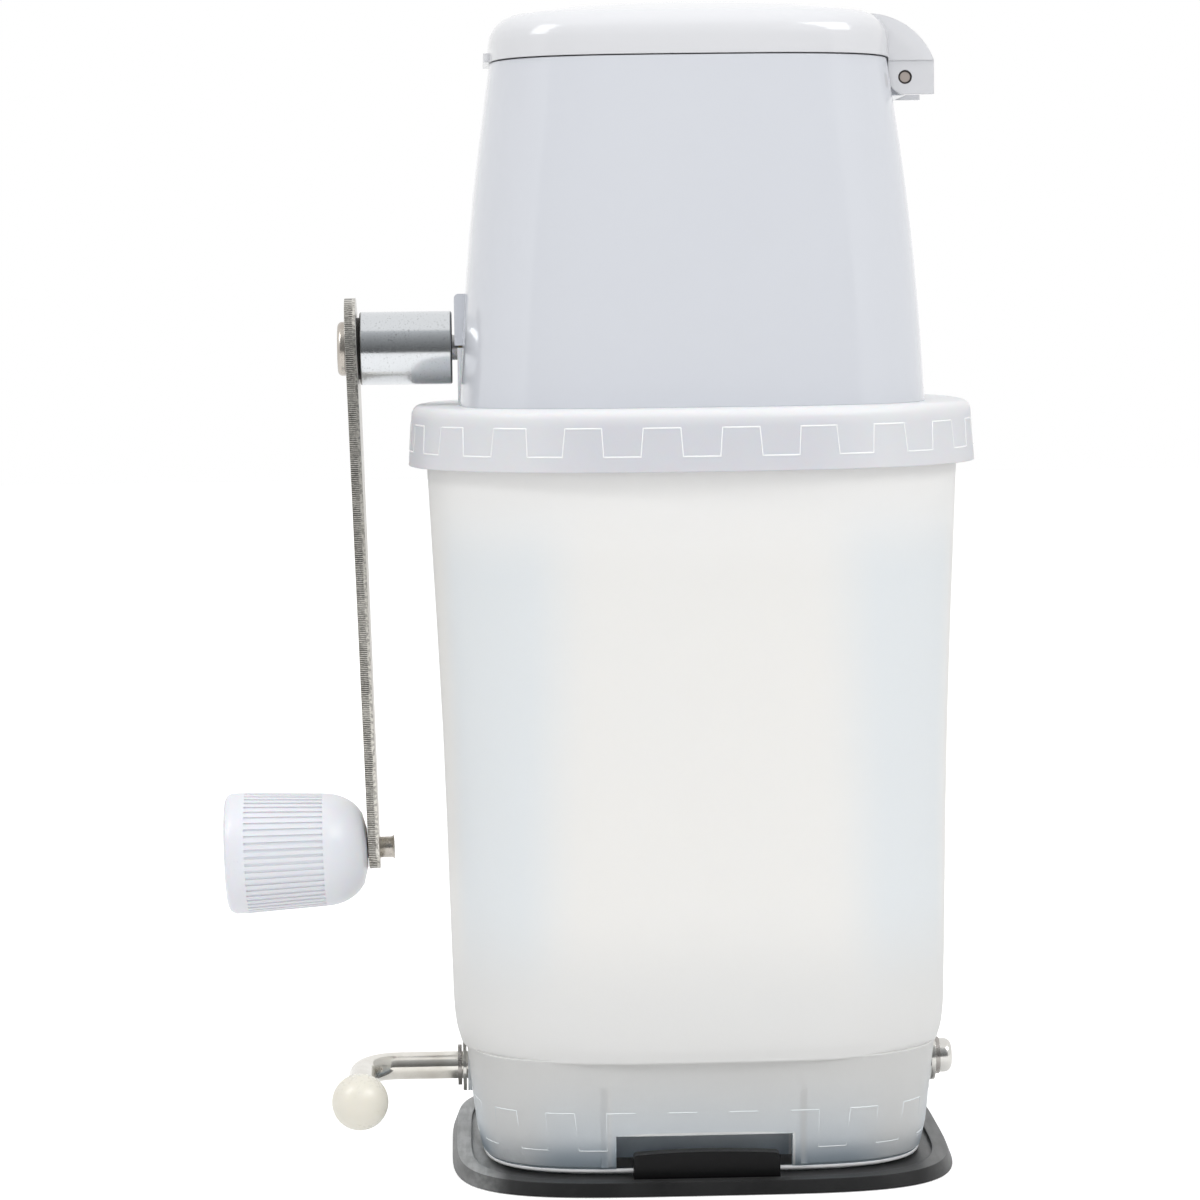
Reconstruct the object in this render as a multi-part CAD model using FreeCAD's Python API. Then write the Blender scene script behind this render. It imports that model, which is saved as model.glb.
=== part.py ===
import FreeCAD, Part

import math
import os

V = FreeCAD.Vector
AXIS_X = V(1, 0, 0)
AXIS_Y = V(0, 1, 0)
AXIS_Z = V(0, 0, 1)

# Hand crank ice crusher on a suction foot. Millimetres, +Z up, crank on the -X side,
# lid hinge on the +X side, front towards -Y. The origin is the centre of the pad's underside.

# ---------------------------------------------------------------- clearances and fits
running_clearance = 0.06
sliding_clearance = 0.15
seat_gap = 0.3
outline_points = 48
edge_steps = 5

# ---------------------------------------------------------------- container and skirt
container_rim_z = 171.0
container_rim_half_width = 61.4
container_mid_half_width = 58.2
container_foot_half_width = 56.7
container_ledge_half_width = 55.3
container_foot_rise = 10.0
ledge_round_height = 3.5
ledge_round_width = 0.9
container_depth_less = 8.2
container_wall = 2.0
container_rim_squareness = 2.5
container_mid_squareness = 2.9
container_foot_squareness = 3.3
ledge_z = 28.0
floor_rise = 0.6
floor_thickness = 2.2

skirt_bottom_z = 2.2
skirt_top_half_width = 54.0
skirt_low_half_width = 51.9
skirt_edge_half_width = 49.3
skirt_low_height = 7.0
skirt_edge_height = 1.8
skirt_edge_tuck = 1.1
skirt_squareness = 4.2
window_centre_x = -0.95
window_width = 39.5
window_sill = 0.9
window_height = 8.1
rib_thickness = 1.6
rib_length = 12.0
rib_offset = 1.8

# ---------------------------------------------------------------- suction foot
pad_half_width = 57.5
pad_half_depth = 54.4
pad_squareness = 4.2
pad_lip_height = 2.9
pad_lip_width = 3.4
pad_lip_draft = 1.1
pad_web_thickness = 1.9
pad_hub_radius = 15.0
pad_hub_height = 4.4
tab_width = 32.6
tab_centre_x = -0.7
tab_thickness = 3.6
tab_height = 8.4
tab_side_height = 7.8
tab_gap = 0.7

stud_flange_radius = 11.0
stud_flange_thickness = 1.6
stud_stem_radius = 3.8
stud_spigot_radius = 3.0
stud_spigot_length = 1.9
yoke_thickness = 8.0
yoke_side = 2.1
yoke_bridge = 1.5
guide_wall = 1.6
guide_height = 15.6

# ---------------------------------------------------------------- suction lever
lever_z = 19.0
lever_rod_radius = 3.2
lever_journal_radius = 2.5
lever_bend_radius = 8.0
lever_reach_x = 24.4
lever_reach_y = 30.0
lever_droop = 3.4
lever_tenon_radius = 2.0
lever_tenon_length = 5.5
lever_ball_radius = 6.4
lever_boss_radius = 6.0
lever_boss_length = 5.0
cam_throw = 1.8
cam_wall = 1.0
cam_width = 7.2
cam_flat_height = 1.9
eye_slack = 0.7
washer_radius = 6.0
washer_thickness = 0.8
clip_radius = 4.75
clip_thickness = 0.9
clip_groove_depth = 0.7
clip_gap_width = 3.6
shaft_end_stand_out = 1.2
end_washer_radius = 5.7
end_washer_thickness = 1.0
lock_washer_radius = 4.3
lock_washer_thickness = 1.2
lock_washer_split = 0.8
end_screw_radius = 2.0
end_screw_length = 12.0
end_screw_head_radius = 4.0
end_screw_head_height = 3.0
end_screw_slot_width = 1.1
end_screw_slot_depth = 1.2

# ---------------------------------------------------------------- collar
collar_depth = 11.0
collar_plate = 2.6
collar_half_width = 65.0
collar_half_depth = 57.2
collar_top_inset = 0.8
collar_wall = 1.8
collar_edge_round = 2.2
collar_squareness = 2.5
locating_rim_depth = 6.5
locating_rim_wall = 1.8
locating_rim_gap = 0.6
chute_half_width = 38.0
chute_half_depth = 27.0
chute_wall = 1.8
chute_depth = 11.0

# ---------------------------------------------------------------- hopper
hopper_top_z = 250.7
hopper_base_half_width = 53.1
hopper_low_half_width = 51.75
hopper_mid_half_width = 49.3
hopper_top_half_width = 45.2
hopper_base_half_depth = 45.4
hopper_low_half_depth = 44.4
hopper_mid_half_depth = 42.6
hopper_top_half_depth = 39.6
hopper_base_squareness = 3.4
hopper_mid_squareness = 3.3
hopper_top_squareness = 3.3
hopper_low_share = 0.28
hopper_mid_share = 0.62
hopper_wall = 2.4
screw_post_x = 39.0
screw_post_y = 32.0
screw_post_radius = 4.0
screw_web_thickness = 2.0
screw_post_height = 12.0
screw_radius = 1.75
screw_clearance = 0.35
screw_length = 10.0
screw_tip_gap = 1.0
screw_head_radius = 3.4
screw_head_height = 2.2
screw_slot_width = 0.9
screw_slot_depth = 1.0
screw_head_round_share = 0.6

# ---------------------------------------------------------------- bearings and rotor
shaft_z = 186.7
journal_radius = 2.9
bush_radius = 5.0
bush_flange_radius = 6.6
bush_flange_thickness = 1.2
bearing_inner_x = 46.0
bearing_half_depth = 8.0
bearing_height = 12.3
bearing_slit = 0.5
upper_boss_proud = 0.9
lower_boss_proud = 0.3
boss_corner_round = 1.0
axle_pip_radius = 0.8
axle_pip_proud = 0.8
core_size = 9.0
core_end_gap = 0.3
blade_count = 5
blade_pitch = 15.0
blade_thickness = 2.5
blade_tip_radius = 21.0
blade_root_radius = 9.0
blade_teeth = 4
blade_hook_angle = 24.0
blade_stagger = 18.0
spacer_radius = 7.0
grate_thickness = 1.5
grate_half_width = 43.5
grate_half_depth = 27.6
grate_slot_width = 9.0
grate_slot_half_length = 21.0
grate_corner_round = 3.0
grate_screw_x = 40.4
grate_screw_y = 18.0
grate_screw_radius = 1.2
grate_screw_head_radius = 2.3
grate_screw_head_height = 1.3
grate_screw_length = 3.6
grate_screw_slot_width = 0.65
grate_screw_slot_depth = 0.5

# ---------------------------------------------------------------- crank and knob
sleeve_radius = 8.4
sleeve_length = 21.2
sleeve_gap = 0.6
sleeve_bore_depth = 14.0
tenon_size = 7.0
tenon_gap = 0.1
arm_thickness = 2.6
arm_lean = 1.5
arm_face_gap = 0.5
arm_top_radius = 11.6
arm_bottom_radius = 4.9
arm_length = 116.0
rivet_head_radius = 6.2
rivet_head_height = 1.7
rivet_edge_round = 1.1
rivet_shank_radius = 2.0
rivet_shank_length = 7.0
knob_length = 32.6
knob_radius = 14.0
knob_waist_radius = 13.1
knob_tip_radius = 4.6
knob_band = 4.7
knob_dome_length = 9.9
knob_dome_steps = 10
knob_edge_round = 1.6
knob_gap = 0.3
knob_rib_count = 54
knob_rib_depth = 0.34
knob_rib_share = 0.62
knob_recess_radius = 5.2
knob_recess_depth = 3.0
pin_radius = 2.45
pin_bore_radius = 1.6
pin_head_radius = 4.3
pin_head_thickness = 1.2
pin_tail_length = 3.4
pin_flare = 0.35

# ---------------------------------------------------------------- lid and hinge
lid_half_width = 45.4
lid_half_depth = 39.5
lid_squareness = 3.4
lid_side_height = 9.2
lid_crown = 4.4
lid_edge_round = 6.4
lid_wall = 2.2
lip_proud = 1.1
lip_height = 2.0
lip_half_length = 13.0
lip_corner_round = 1.0
locating_tab_half_length = 10.0
locating_tab_depth = 3.6
locating_tab_thickness = 1.6
hinge_x = 48.75
hinge_drop = 4.15
hinge_pin_radius = 1.5
knuckle_radius = 3.9
knuckle_half_length = 11.4
ear_thickness = 3.5
ear_radius = 3.85
ear_reach = 6.55
hinge_foot_drop = 3.85
hood_inset_x = 14.0
hood_height = 9.8
hood_start = 6.9
hood_bulge = 2.4
hood_skirt = 0.75
hood_proud = 0.4
pin_recess = 0.3

# ================================================================ derived places
floor_underside_z = ledge_z + floor_rise
floor_top_z = floor_underside_z + floor_thickness
collar_plate_z = container_rim_z
collar_top_z = collar_plate_z + collar_plate
collar_bottom_z = collar_plate_z - collar_depth
lid_rim_z = hopper_top_z + seat_gap
hinge_z = hopper_top_z - hinge_drop
ear_inner_y = knuckle_half_length + seat_gap
ear_outer_y = ear_inner_y + ear_thickness
hood_outer_x = hinge_x + ear_reach

cam_radius = lever_journal_radius + cam_throw + cam_wall
cam_centre_z = lever_z - cam_throw
eye_half_height = cam_radius + eye_slack
eye_half_width = cam_radius + cam_throw + seat_gap
yoke_half_width = eye_half_width + yoke_side
yoke_top_z = cam_centre_z + eye_half_height + yoke_bridge
yoke_bottom_z = cam_centre_z - eye_half_height - yoke_bridge
guide_inner_x = yoke_thickness / 2 + sliding_clearance
guide_outer_x = guide_inner_x + guide_wall
guide_inner_y = yoke_half_width + sliding_clearance
guide_outer_y = guide_inner_y + guide_wall


# ================================================================ shape helpers
def squircle(half_width, half_depth, squareness, z):
    """Rounded square curve |x/a|^n + |y/b|^n = 1 at one height."""
    points = []
    for step in range(outline_points):
        angle = 2 * math.pi * step / outline_points
        across = abs(math.cos(angle) / half_width) ** squareness
        along = abs(math.sin(angle) / half_depth) ** squareness
        reach = (across + along) ** (-1 / squareness)
        points.append(V(reach * math.cos(angle), reach * math.sin(angle), z))
    knots = [float(step) for step in range(outline_points + 1)]
    curve = Part.BSplineCurve()
    curve.interpolate(Points=points, PeriodicFlag=True, Parameters=knots)
    return Part.Wire([curve.toShape()])


def smoothed(levels, spans):
    """Put more levels between the given ones, along a smooth curve through them."""
    rows = []
    last = len(levels) - 1
    for index in range(last):
        before = levels[max(index - 1, 0)]
        start = levels[index]
        end = levels[index + 1]
        after = levels[min(index + 2, last)]
        rise = end[0] - start[0]
        for step in range(spans):
            t = step / spans
            row = [start[0] + t * rise]
            for item in (1, 2, 3):
                leave = rise * (end[item] - before[item]) / (end[0] - before[0])
                arrive = rise * (after[item] - start[item]) / (after[0] - start[0])
                row.append(start[item] * (2 * t ** 3 - 3 * t ** 2 + 1)
                           + end[item] * (3 * t ** 2 - 2 * t ** 3)
                           + leave * (t ** 3 - 2 * t ** 2 + t)
                           + arrive * (t ** 3 - t ** 2))
            rows.append(tuple(row))
    rows.append(levels[last])
    return rows


def loft(levels, inset=0.0):
    """Solid through levels of (z, half width, half depth, squareness), drawn in by an inset."""
    wires = [squircle(a - inset, b - inset, n, z) for z, a, b, n in levels]
    return Part.makeLoft(wires, True, True)


def slab(x0, x1, y0, y1, z0, z1):
    return Part.makeBox(x1 - x0, y1 - y0, z1 - z0, V(x0, y0, z0))


def rod_x(radius, x0, x1, y=0.0, z=0.0):
    return Part.makeCylinder(radius, x1 - x0, V(x0, y, z), AXIS_X)


def rod_y(radius, y0, y1, x=0.0, z=0.0):
    return Part.makeCylinder(radius, y1 - y0, V(x, y0, z), AXIS_Y)


def rod_z(radius, z0, z1, x=0.0, y=0.0):
    return Part.makeCylinder(radius, z1 - z0, V(x, y, z0), AXIS_Z)


def revolve_x(profile, z=0.0):
    """Turn a closed (x, radius) outline about the X axis through a height."""
    corners = [V(x, 0, z + radius) for x, radius in profile]
    wire = Part.makePolygon(corners + [corners[0]])
    return Part.Face(wire).revolve(V(0, 0, z), AXIS_X, 360)


def join(shapes):
    body = shapes[0]
    if len(shapes) > 1:
        body = body.multiFuse(shapes[1:])
    return body.removeSplitter()


def pan_screw(radius, length, head_radius, head_height, slot_width, slot_depth):
    """Cross-recessed pan-head screw along +Z, its head below z = 0."""
    head = rod_z(head_radius, -head_height, 0)
    rim = [edge for edge in head.Edges if edge.BoundBox.ZMax < -head_height + slot_depth / 2]
    head = head.makeFillet(head_height * screw_head_round_share, rim)
    long_slot = slab(-head_radius / 2, head_radius / 2, -slot_width / 2, slot_width / 2,
                     -head_height, slot_depth - head_height)
    cross_slot = long_slot.copy()
    cross_slot.rotate(V(0, 0, 0), AXIS_Z, 90)
    screw = head.fuse(rod_z(radius, 0, length))
    return screw.cut(long_slot).cut(cross_slot).removeSplitter()


def half_width_at(levels, z):
    """Half width of a ruled stack of levels at one height."""
    for low, high in zip(levels, levels[1:]):
        if low[0] <= z <= high[0]:
            share = (z - low[0]) / (high[0] - low[0])
            return low[1] + share * (high[1] - low[1])
    return levels[-1][1] if z > levels[-1][0] else levels[0][1]


# ================================================================ container
def container_levels():
    def level(z, half_width, squareness):
        return (z, half_width, half_width - container_depth_less, squareness)

    return smoothed([
        level(ledge_z, container_ledge_half_width, container_foot_squareness),
        level(ledge_z + ledge_round_height, container_ledge_half_width + ledge_round_width,
              container_foot_squareness),
        level(ledge_z + container_foot_rise, container_foot_half_width, container_foot_squareness),
        level((ledge_z + container_rim_z) / 2, container_mid_half_width, container_mid_squareness),
        level(container_rim_z, container_rim_half_width, container_rim_squareness),
    ], 3)


def skirt_levels():
    def level(z, half_width):
        return (z, half_width, half_width - container_depth_less, skirt_squareness)

    return [
        level(skirt_bottom_z, skirt_edge_half_width),
        level(skirt_bottom_z + skirt_edge_height, skirt_low_half_width - skirt_edge_tuck),
        level(skirt_bottom_z + skirt_low_height, skirt_low_half_width),
        level(floor_underside_z, skirt_top_half_width),
    ]


skirt_wall_x = half_width_at(skirt_levels(), lever_z + washer_radius)
skirt_front_y = container_depth_less - skirt_low_half_width
window_left_x = window_centre_x - window_width / 2
window_right_x = window_centre_x + window_width / 2


def yoke_guide():
    """Rectangular sleeve under the floor in which the suction stud slides."""
    low_z = floor_underside_z - guide_height
    outside = slab(-guide_outer_x, guide_outer_x, -guide_outer_y, guide_outer_y, low_z, floor_top_z)
    inside = slab(-guide_inner_x, guide_inner_x, -guide_inner_y, guide_inner_y, low_z, floor_underside_z)
    return outside.cut(inside)


def window_rib(x, outward):
    """Upright rib inside the skirt beside the window."""
    near = min(x, x + outward * rib_thickness)
    return slab(near, near + rib_thickness, skirt_front_y + container_wall / 2,
                skirt_front_y + rib_length, skirt_bottom_z + skirt_edge_height, floor_top_z)


def recess_wall():
    """Back of the finger recess behind the window, across the inner ends of its two ribs."""
    back_y = skirt_front_y + rib_length
    reach = rib_offset + rib_thickness
    return slab(window_left_x - reach, window_right_x + reach, back_y - rib_thickness, back_y,
                skirt_bottom_z + skirt_edge_height, floor_top_z)


def make_container():
    body = loft(container_levels())
    body_top = list(container_levels()[-1])
    body_top[0] += floor_rise
    cavity = loft(container_levels()[:-1] + [tuple(body_top)], container_wall)
    below_floor = slab(-pad_half_width, pad_half_width, -pad_half_depth, pad_half_depth, 0, floor_top_z)
    cavity = cavity.cut(below_floor)
    skirt = loft(skirt_levels())
    lowest = skirt_levels()[0]
    under = (0.0, lowest[1] - skirt_bottom_z, lowest[2] - skirt_bottom_z, skirt_squareness)
    skirt_cavity = loft([under] + skirt_levels(), container_wall)
    shell = body.fuse(skirt).cut(cavity).cut(skirt_cavity)
    boss_inner_x = skirt_wall_x - container_wall - lever_boss_length
    left_boss = rod_x(lever_boss_radius, -skirt_wall_x, -boss_inner_x, z=lever_z)
    right_boss = rod_x(lever_boss_radius, boss_inner_x, skirt_wall_x, z=lever_z)
    left_rib = window_rib(window_left_x - rib_offset, -1)
    right_rib = window_rib(window_right_x + rib_offset, 1)
    shell = join([shell, yoke_guide(), left_boss, right_boss, left_rib, right_rib, recess_wall()])
    rod_hole = rod_x(lever_rod_radius + running_clearance, -container_rim_half_width,
                     -guide_outer_x - seat_gap, z=lever_z)
    journal_hole = rod_x(lever_journal_radius + running_clearance, -guide_outer_x - rib_offset,
                         container_rim_half_width, z=lever_z)
    window_back_y = skirt_front_y + container_wall + skirt_low_half_width - skirt_edge_half_width + seat_gap
    window = slab(window_left_x, window_right_x, -container_rim_half_width, window_back_y,
                  skirt_bottom_z + window_sill, skirt_bottom_z + window_sill + window_height)
    return shell.cut(rod_hole).cut(journal_hole).cut(window)


# ================================================================ suction foot
def pull_tab():
    """Upright tab with a gently arched top edge and rounded corners."""
    back_y = skirt_front_y - tab_gap
    left_x = tab_centre_x - tab_width / 2
    right_x = tab_centre_x + tab_width / 2
    left_top = V(left_x, back_y, tab_side_height)
    right_top = V(right_x, back_y, tab_side_height)
    crest = Part.Arc(right_top, V(tab_centre_x, back_y, tab_height), left_top).toShape()
    sides = Part.makePolygon([left_top, V(left_x, back_y, 0), V(right_x, back_y, 0), right_top])
    blank = Part.Face(Part.Wire([crest] + sides.Edges)).extrude(V(0, -tab_thickness, 0))
    corners = [edge for edge in blank.Edges if edge.BoundBox.ZLength < seat_gap
               and edge.BoundBox.XLength < seat_gap and edge.BoundBox.ZMax > tab_side_height / 2]
    return blank.makeFillet(tab_thickness / 4, corners)


def make_suction_pad():
    lip_levels = [
        (0.0, pad_half_width, pad_half_depth, pad_squareness),
        (pad_lip_height, pad_half_width - pad_lip_draft, pad_half_depth - pad_lip_draft, pad_squareness),
    ]
    slab_shape = loft(lip_levels)
    well_levels = [
        (pad_web_thickness, pad_half_width, pad_half_depth, pad_squareness),
        (pad_lip_height + seat_gap, pad_half_width, pad_half_depth, pad_squareness),
    ]
    well = loft(well_levels, pad_lip_draft + pad_lip_width)
    hub = rod_z(pad_hub_radius, 0, pad_hub_height)
    socket = rod_z(stud_spigot_radius + seat_gap, pad_hub_height - stud_spigot_length, pad_hub_height)
    return join([slab_shape.cut(well), hub, pull_tab()]).cut(socket)


def make_suction_stud():
    flange_z = pad_hub_height + sliding_clearance
    spigot = rod_z(stud_spigot_radius, flange_z - stud_spigot_length + sliding_clearance / 2, flange_z)
    flange = rod_z(stud_flange_radius, flange_z, flange_z + stud_flange_thickness)
    stem = rod_z(stud_stem_radius, flange_z, yoke_bottom_z + yoke_bridge / 2)
    half = yoke_thickness / 2
    yoke = slab(-half, half, -yoke_half_width, yoke_half_width, yoke_bottom_z, yoke_top_z)
    eye = slab(-half, half, -eye_half_width, eye_half_width,
               cam_centre_z - eye_half_height, cam_centre_z + eye_half_height)
    return join([spigot, flange, stem, yoke]).cut(eye)


# ================================================================ suction lever
lever_left_x = -skirt_wall_x - lever_reach_x
lever_bend_x = lever_left_x + lever_bend_radius
shaft_end_x = skirt_wall_x + shaft_end_stand_out
left_washer_x = -skirt_wall_x - seat_gap - washer_thickness
clip_x = left_washer_x - seat_gap - clip_thickness


def cam_section_cut(reach):
    """Block that leaves the flat on the shaft and in the cam's bore."""
    return slab(-cam_width / 2, cam_width / 2, -reach, reach,
                lever_z + cam_flat_height, lever_z + reach)


def droop(shape):
    shape.rotate(V(0, 0, lever_z), AXIS_X, lever_droop)
    return shape


def make_lever_shaft():
    big = rod_x(lever_rod_radius, lever_bend_x, -guide_outer_x - 2 * seat_gap, z=lever_z)
    journal = rod_x(lever_journal_radius, -guide_outer_x - 2 * seat_gap, shaft_end_x, z=lever_z)
    bend_disc = Part.makeCircle(lever_rod_radius, V(lever_bend_x, 0, lever_z), AXIS_X)
    bend_centre = V(lever_bend_x, -lever_bend_radius, lever_z)
    bend = Part.Face(Part.Wire([bend_disc])).revolve(bend_centre, AXIS_Z, 90)
    arm_end_y = -lever_reach_y + lever_ball_radius - lever_tenon_length / 4
    arm = rod_y(lever_rod_radius, arm_end_y, -lever_bend_radius, x=lever_left_x, z=lever_z)
    tenon = rod_y(lever_tenon_radius, arm_end_y - lever_tenon_length, arm_end_y, x=lever_left_x, z=lever_z)
    tapped_hole = rod_x(end_screw_radius, shaft_end_x - end_screw_length, shaft_end_x, z=lever_z)
    groove_outer = rod_x(lever_rod_radius + seat_gap, clip_x, clip_x + clip_thickness, z=lever_z)
    groove_inner = rod_x(lever_rod_radius - clip_groove_depth, clip_x, clip_x + clip_thickness, z=lever_z)
    bent_end = droop(join([bend, arm, tenon]))
    shaft = join([big, journal, bent_end]).cut(tapped_hole).cut(groove_outer.cut(groove_inner))
    return shaft.cut(cam_section_cut(lever_rod_radius))


def make_lever_ball():
    ball = Part.makeSphere(lever_ball_radius, V(lever_left_x, -lever_reach_y, lever_z))
    arm_end_y = -lever_reach_y + lever_ball_radius - lever_tenon_length / 4
    socket = rod_y(lever_tenon_radius, arm_end_y - lever_tenon_length, -lever_bend_radius,
                   x=lever_left_x, z=lever_z)
    seat = rod_y(lever_rod_radius, arm_end_y, -lever_bend_radius, x=lever_left_x, z=lever_z)
    return droop(ball.cut(socket).cut(seat))


def make_suction_cam():
    half = cam_width / 2
    cam = rod_x(cam_radius, -half, half, z=cam_centre_z)
    bore = rod_x(lever_journal_radius, -half, half, z=lever_z).cut(cam_section_cut(lever_rod_radius))
    return cam.cut(bore)


def make_lever_washer():
    disc = rod_x(washer_radius, left_washer_x, left_washer_x + washer_thickness, z=lever_z)
    return disc.cut(rod_x(lever_rod_radius + sliding_clearance, left_washer_x, -skirt_wall_x, z=lever_z))


def make_lever_clip():
    """Open spring clip that snaps into the groove of the lever shaft."""
    inner_radius = lever_rod_radius - clip_groove_depth
    disc = rod_x(clip_radius, clip_x, clip_x + clip_thickness, z=lever_z)
    bore = rod_x(inner_radius, clip_x, clip_x + clip_thickness, z=lever_z)
    mouth = slab(clip_x, clip_x + clip_thickness, -clip_gap_width / 2, clip_gap_width / 2,
                 lever_z - clip_radius, lever_z)
    return disc.cut(bore).cut(mouth)


def end_ring(radius, x0, thickness):
    disc = rod_x(radius, x0, x0 + thickness, z=lever_z)
    return disc.cut(rod_x(end_screw_radius, x0, x0 + thickness, z=lever_z))


def make_lever_end_washer():
    return end_ring(end_washer_radius, shaft_end_x, end_washer_thickness)


def make_lever_lock_washer():
    x0 = shaft_end_x + end_washer_thickness
    split = slab(x0, x0 + lock_washer_thickness, -lock_washer_split / 2, lock_washer_split / 2,
                 lever_z, lever_z + lock_washer_radius)
    return end_ring(lock_washer_radius, x0, lock_washer_thickness).cut(split)


def make_lever_end_screw():
    screw = pan_screw(end_screw_radius, end_screw_length, end_screw_head_radius,
                      end_screw_head_height, end_screw_slot_width, end_screw_slot_depth)
    screw.rotate(V(0, 0, 0), AXIS_Y, -90)
    head_x = shaft_end_x + end_washer_thickness + lock_washer_thickness
    screw.translate(V(head_x, 0, lever_z))
    return screw


# ================================================================ collar
upper_boss_x = -hopper_base_half_width - upper_boss_proud
lower_boss_x = upper_boss_x + upper_boss_proud - lower_boss_proud
bearing_top_z = shaft_z + bearing_height


def collar_shell():
    """Shallow cap with a rounded top edge."""
    levels = [(collar_bottom_z, collar_half_width, collar_half_depth, collar_squareness)]
    for step in range(edge_steps + 1):
        turn = math.radians(90 * step / edge_steps)
        inset = collar_top_inset + collar_edge_round * (1 - math.cos(turn))
        levels.append((collar_top_z - collar_edge_round * (1 - math.sin(turn)),
                       collar_half_width - inset, collar_half_depth - inset, collar_squareness))
    inside = [
        (collar_bottom_z - seat_gap, collar_half_width, collar_half_depth, collar_squareness),
        (collar_plate_z, collar_half_width - collar_top_inset,
         collar_half_depth - collar_top_inset, collar_squareness),
    ]
    return loft(levels).cut(loft(inside, collar_wall))


def locating_rim():
    """Ring under the plate that drops inside the container's mouth."""
    outer = container_rim_half_width - container_wall - locating_rim_gap
    depth = outer - container_depth_less
    levels = [
        (collar_plate_z - locating_rim_depth, outer, depth, container_rim_squareness),
        (collar_plate_z + seat_gap, outer, depth, container_rim_squareness),
    ]
    return loft(levels).cut(loft(levels, locating_rim_wall))


def lower_bearing(x0, x1):
    return slab(x0, x1, -bearing_half_depth, bearing_half_depth, collar_top_z - seat_gap, shaft_z)


def screw_places():
    return [(sx * screw_post_x, sy * screw_post_y) for sx in (-1, 1) for sy in (-1, 1)]


def grate_screw_places():
    return [(sx * grate_screw_x, sy * grate_screw_y) for sx in (-1, 1) for sy in (-1, 1)]


right_bearing_x = half_width_at(
    [(collar_top_z, hopper_base_half_width), (hopper_top_z, hopper_top_half_width)], bearing_top_z
) - hopper_wall


def make_collar():
    chute = slab(-chute_half_width, chute_half_width, -chute_half_depth, chute_half_depth,
                 collar_plate_z - chute_depth, collar_top_z)
    passage = slab(chute_wall - chute_half_width, chute_half_width - chute_wall,
                   chute_wall - chute_half_depth, chute_half_depth - chute_wall,
                   collar_plate_z - chute_depth, collar_top_z)
    left = lower_bearing(lower_boss_x, -bearing_inner_x)
    right = lower_bearing(bearing_inner_x, right_bearing_x)
    collar = join([collar_shell(), locating_rim(), chute, left, right]).cut(passage)
    bore = rod_x(bush_radius, -collar_half_width, collar_half_width, z=shaft_z)
    holes = [rod_z(screw_radius + screw_clearance, collar_plate_z, collar_top_z, x, y)
             for x, y in screw_places()]
    pilot_holes = [rod_z(grate_screw_radius, collar_plate_z, collar_top_z, x, y)
                   for x, y in grate_screw_places()]
    return collar.cut(bore).cut(Part.makeCompound(holes + pilot_holes))


# ================================================================ hopper
def hopper_levels():
    height = hopper_top_z - collar_top_z
    return smoothed([
        (collar_top_z, hopper_base_half_width, hopper_base_half_depth, hopper_base_squareness),
        (collar_top_z + hopper_low_share * height, hopper_low_half_width, hopper_low_half_depth,
         hopper_base_squareness),
        (collar_top_z + hopper_mid_share * height, hopper_mid_half_width, hopper_mid_half_depth,
         hopper_mid_squareness),
        (hopper_top_z, hopper_top_half_width, hopper_top_half_depth, hopper_top_squareness),
    ], 3)


def hopper_cavity():
    levels = hopper_levels()
    first = levels[0]
    last = levels[-1]
    levels[0] = (first[0] - seat_gap, first[1], first[2], first[3])
    levels[-1] = (last[0] + seat_gap, last[1], last[2], last[3])
    return loft(levels, hopper_wall)


def upper_bearing(x0, x1):
    return slab(x0, x1, -bearing_half_depth, bearing_half_depth, shaft_z + bearing_slit, bearing_top_z)


def screw_post(x, y):
    """Post for a screw from below, with a web that ties it to the side wall."""
    top_z = collar_top_z + screw_post_height
    post = rod_z(screw_post_radius, collar_top_z, top_z, x, y)
    reach = math.copysign(hopper_base_half_width, x)
    web = slab(min(x, reach), max(x, reach), y - screw_web_thickness / 2, y + screw_web_thickness / 2,
               collar_top_z, top_z)
    return post.fuse(web)


ear_pocket_x = hinge_x - ear_radius - seat_gap
ear_pocket_y = ear_outer_y + seat_gap
ear_pocket_z = hinge_z - math.hypot(ear_reach, hinge_foot_drop) - seat_gap


def ear_pocket(side):
    """Recess beside the hinge block, as deep as the ear's foot needs for its swing."""
    y0 = min(side * knuckle_half_length, side * ear_pocket_y)
    return slab(ear_pocket_x, hood_outer_x, y0, y0 + ear_pocket_y - knuckle_half_length,
                ear_pocket_z, lid_rim_z)


def pocket_backing():
    """Thicker stretch inside the wall that keeps it whole behind the two recesses."""
    half_length = ear_pocket_y + hopper_wall
    return slab(ear_pocket_x - hopper_wall, hinge_x, -half_length, half_length,
                ear_pocket_z - hopper_wall, hopper_top_z)


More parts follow.
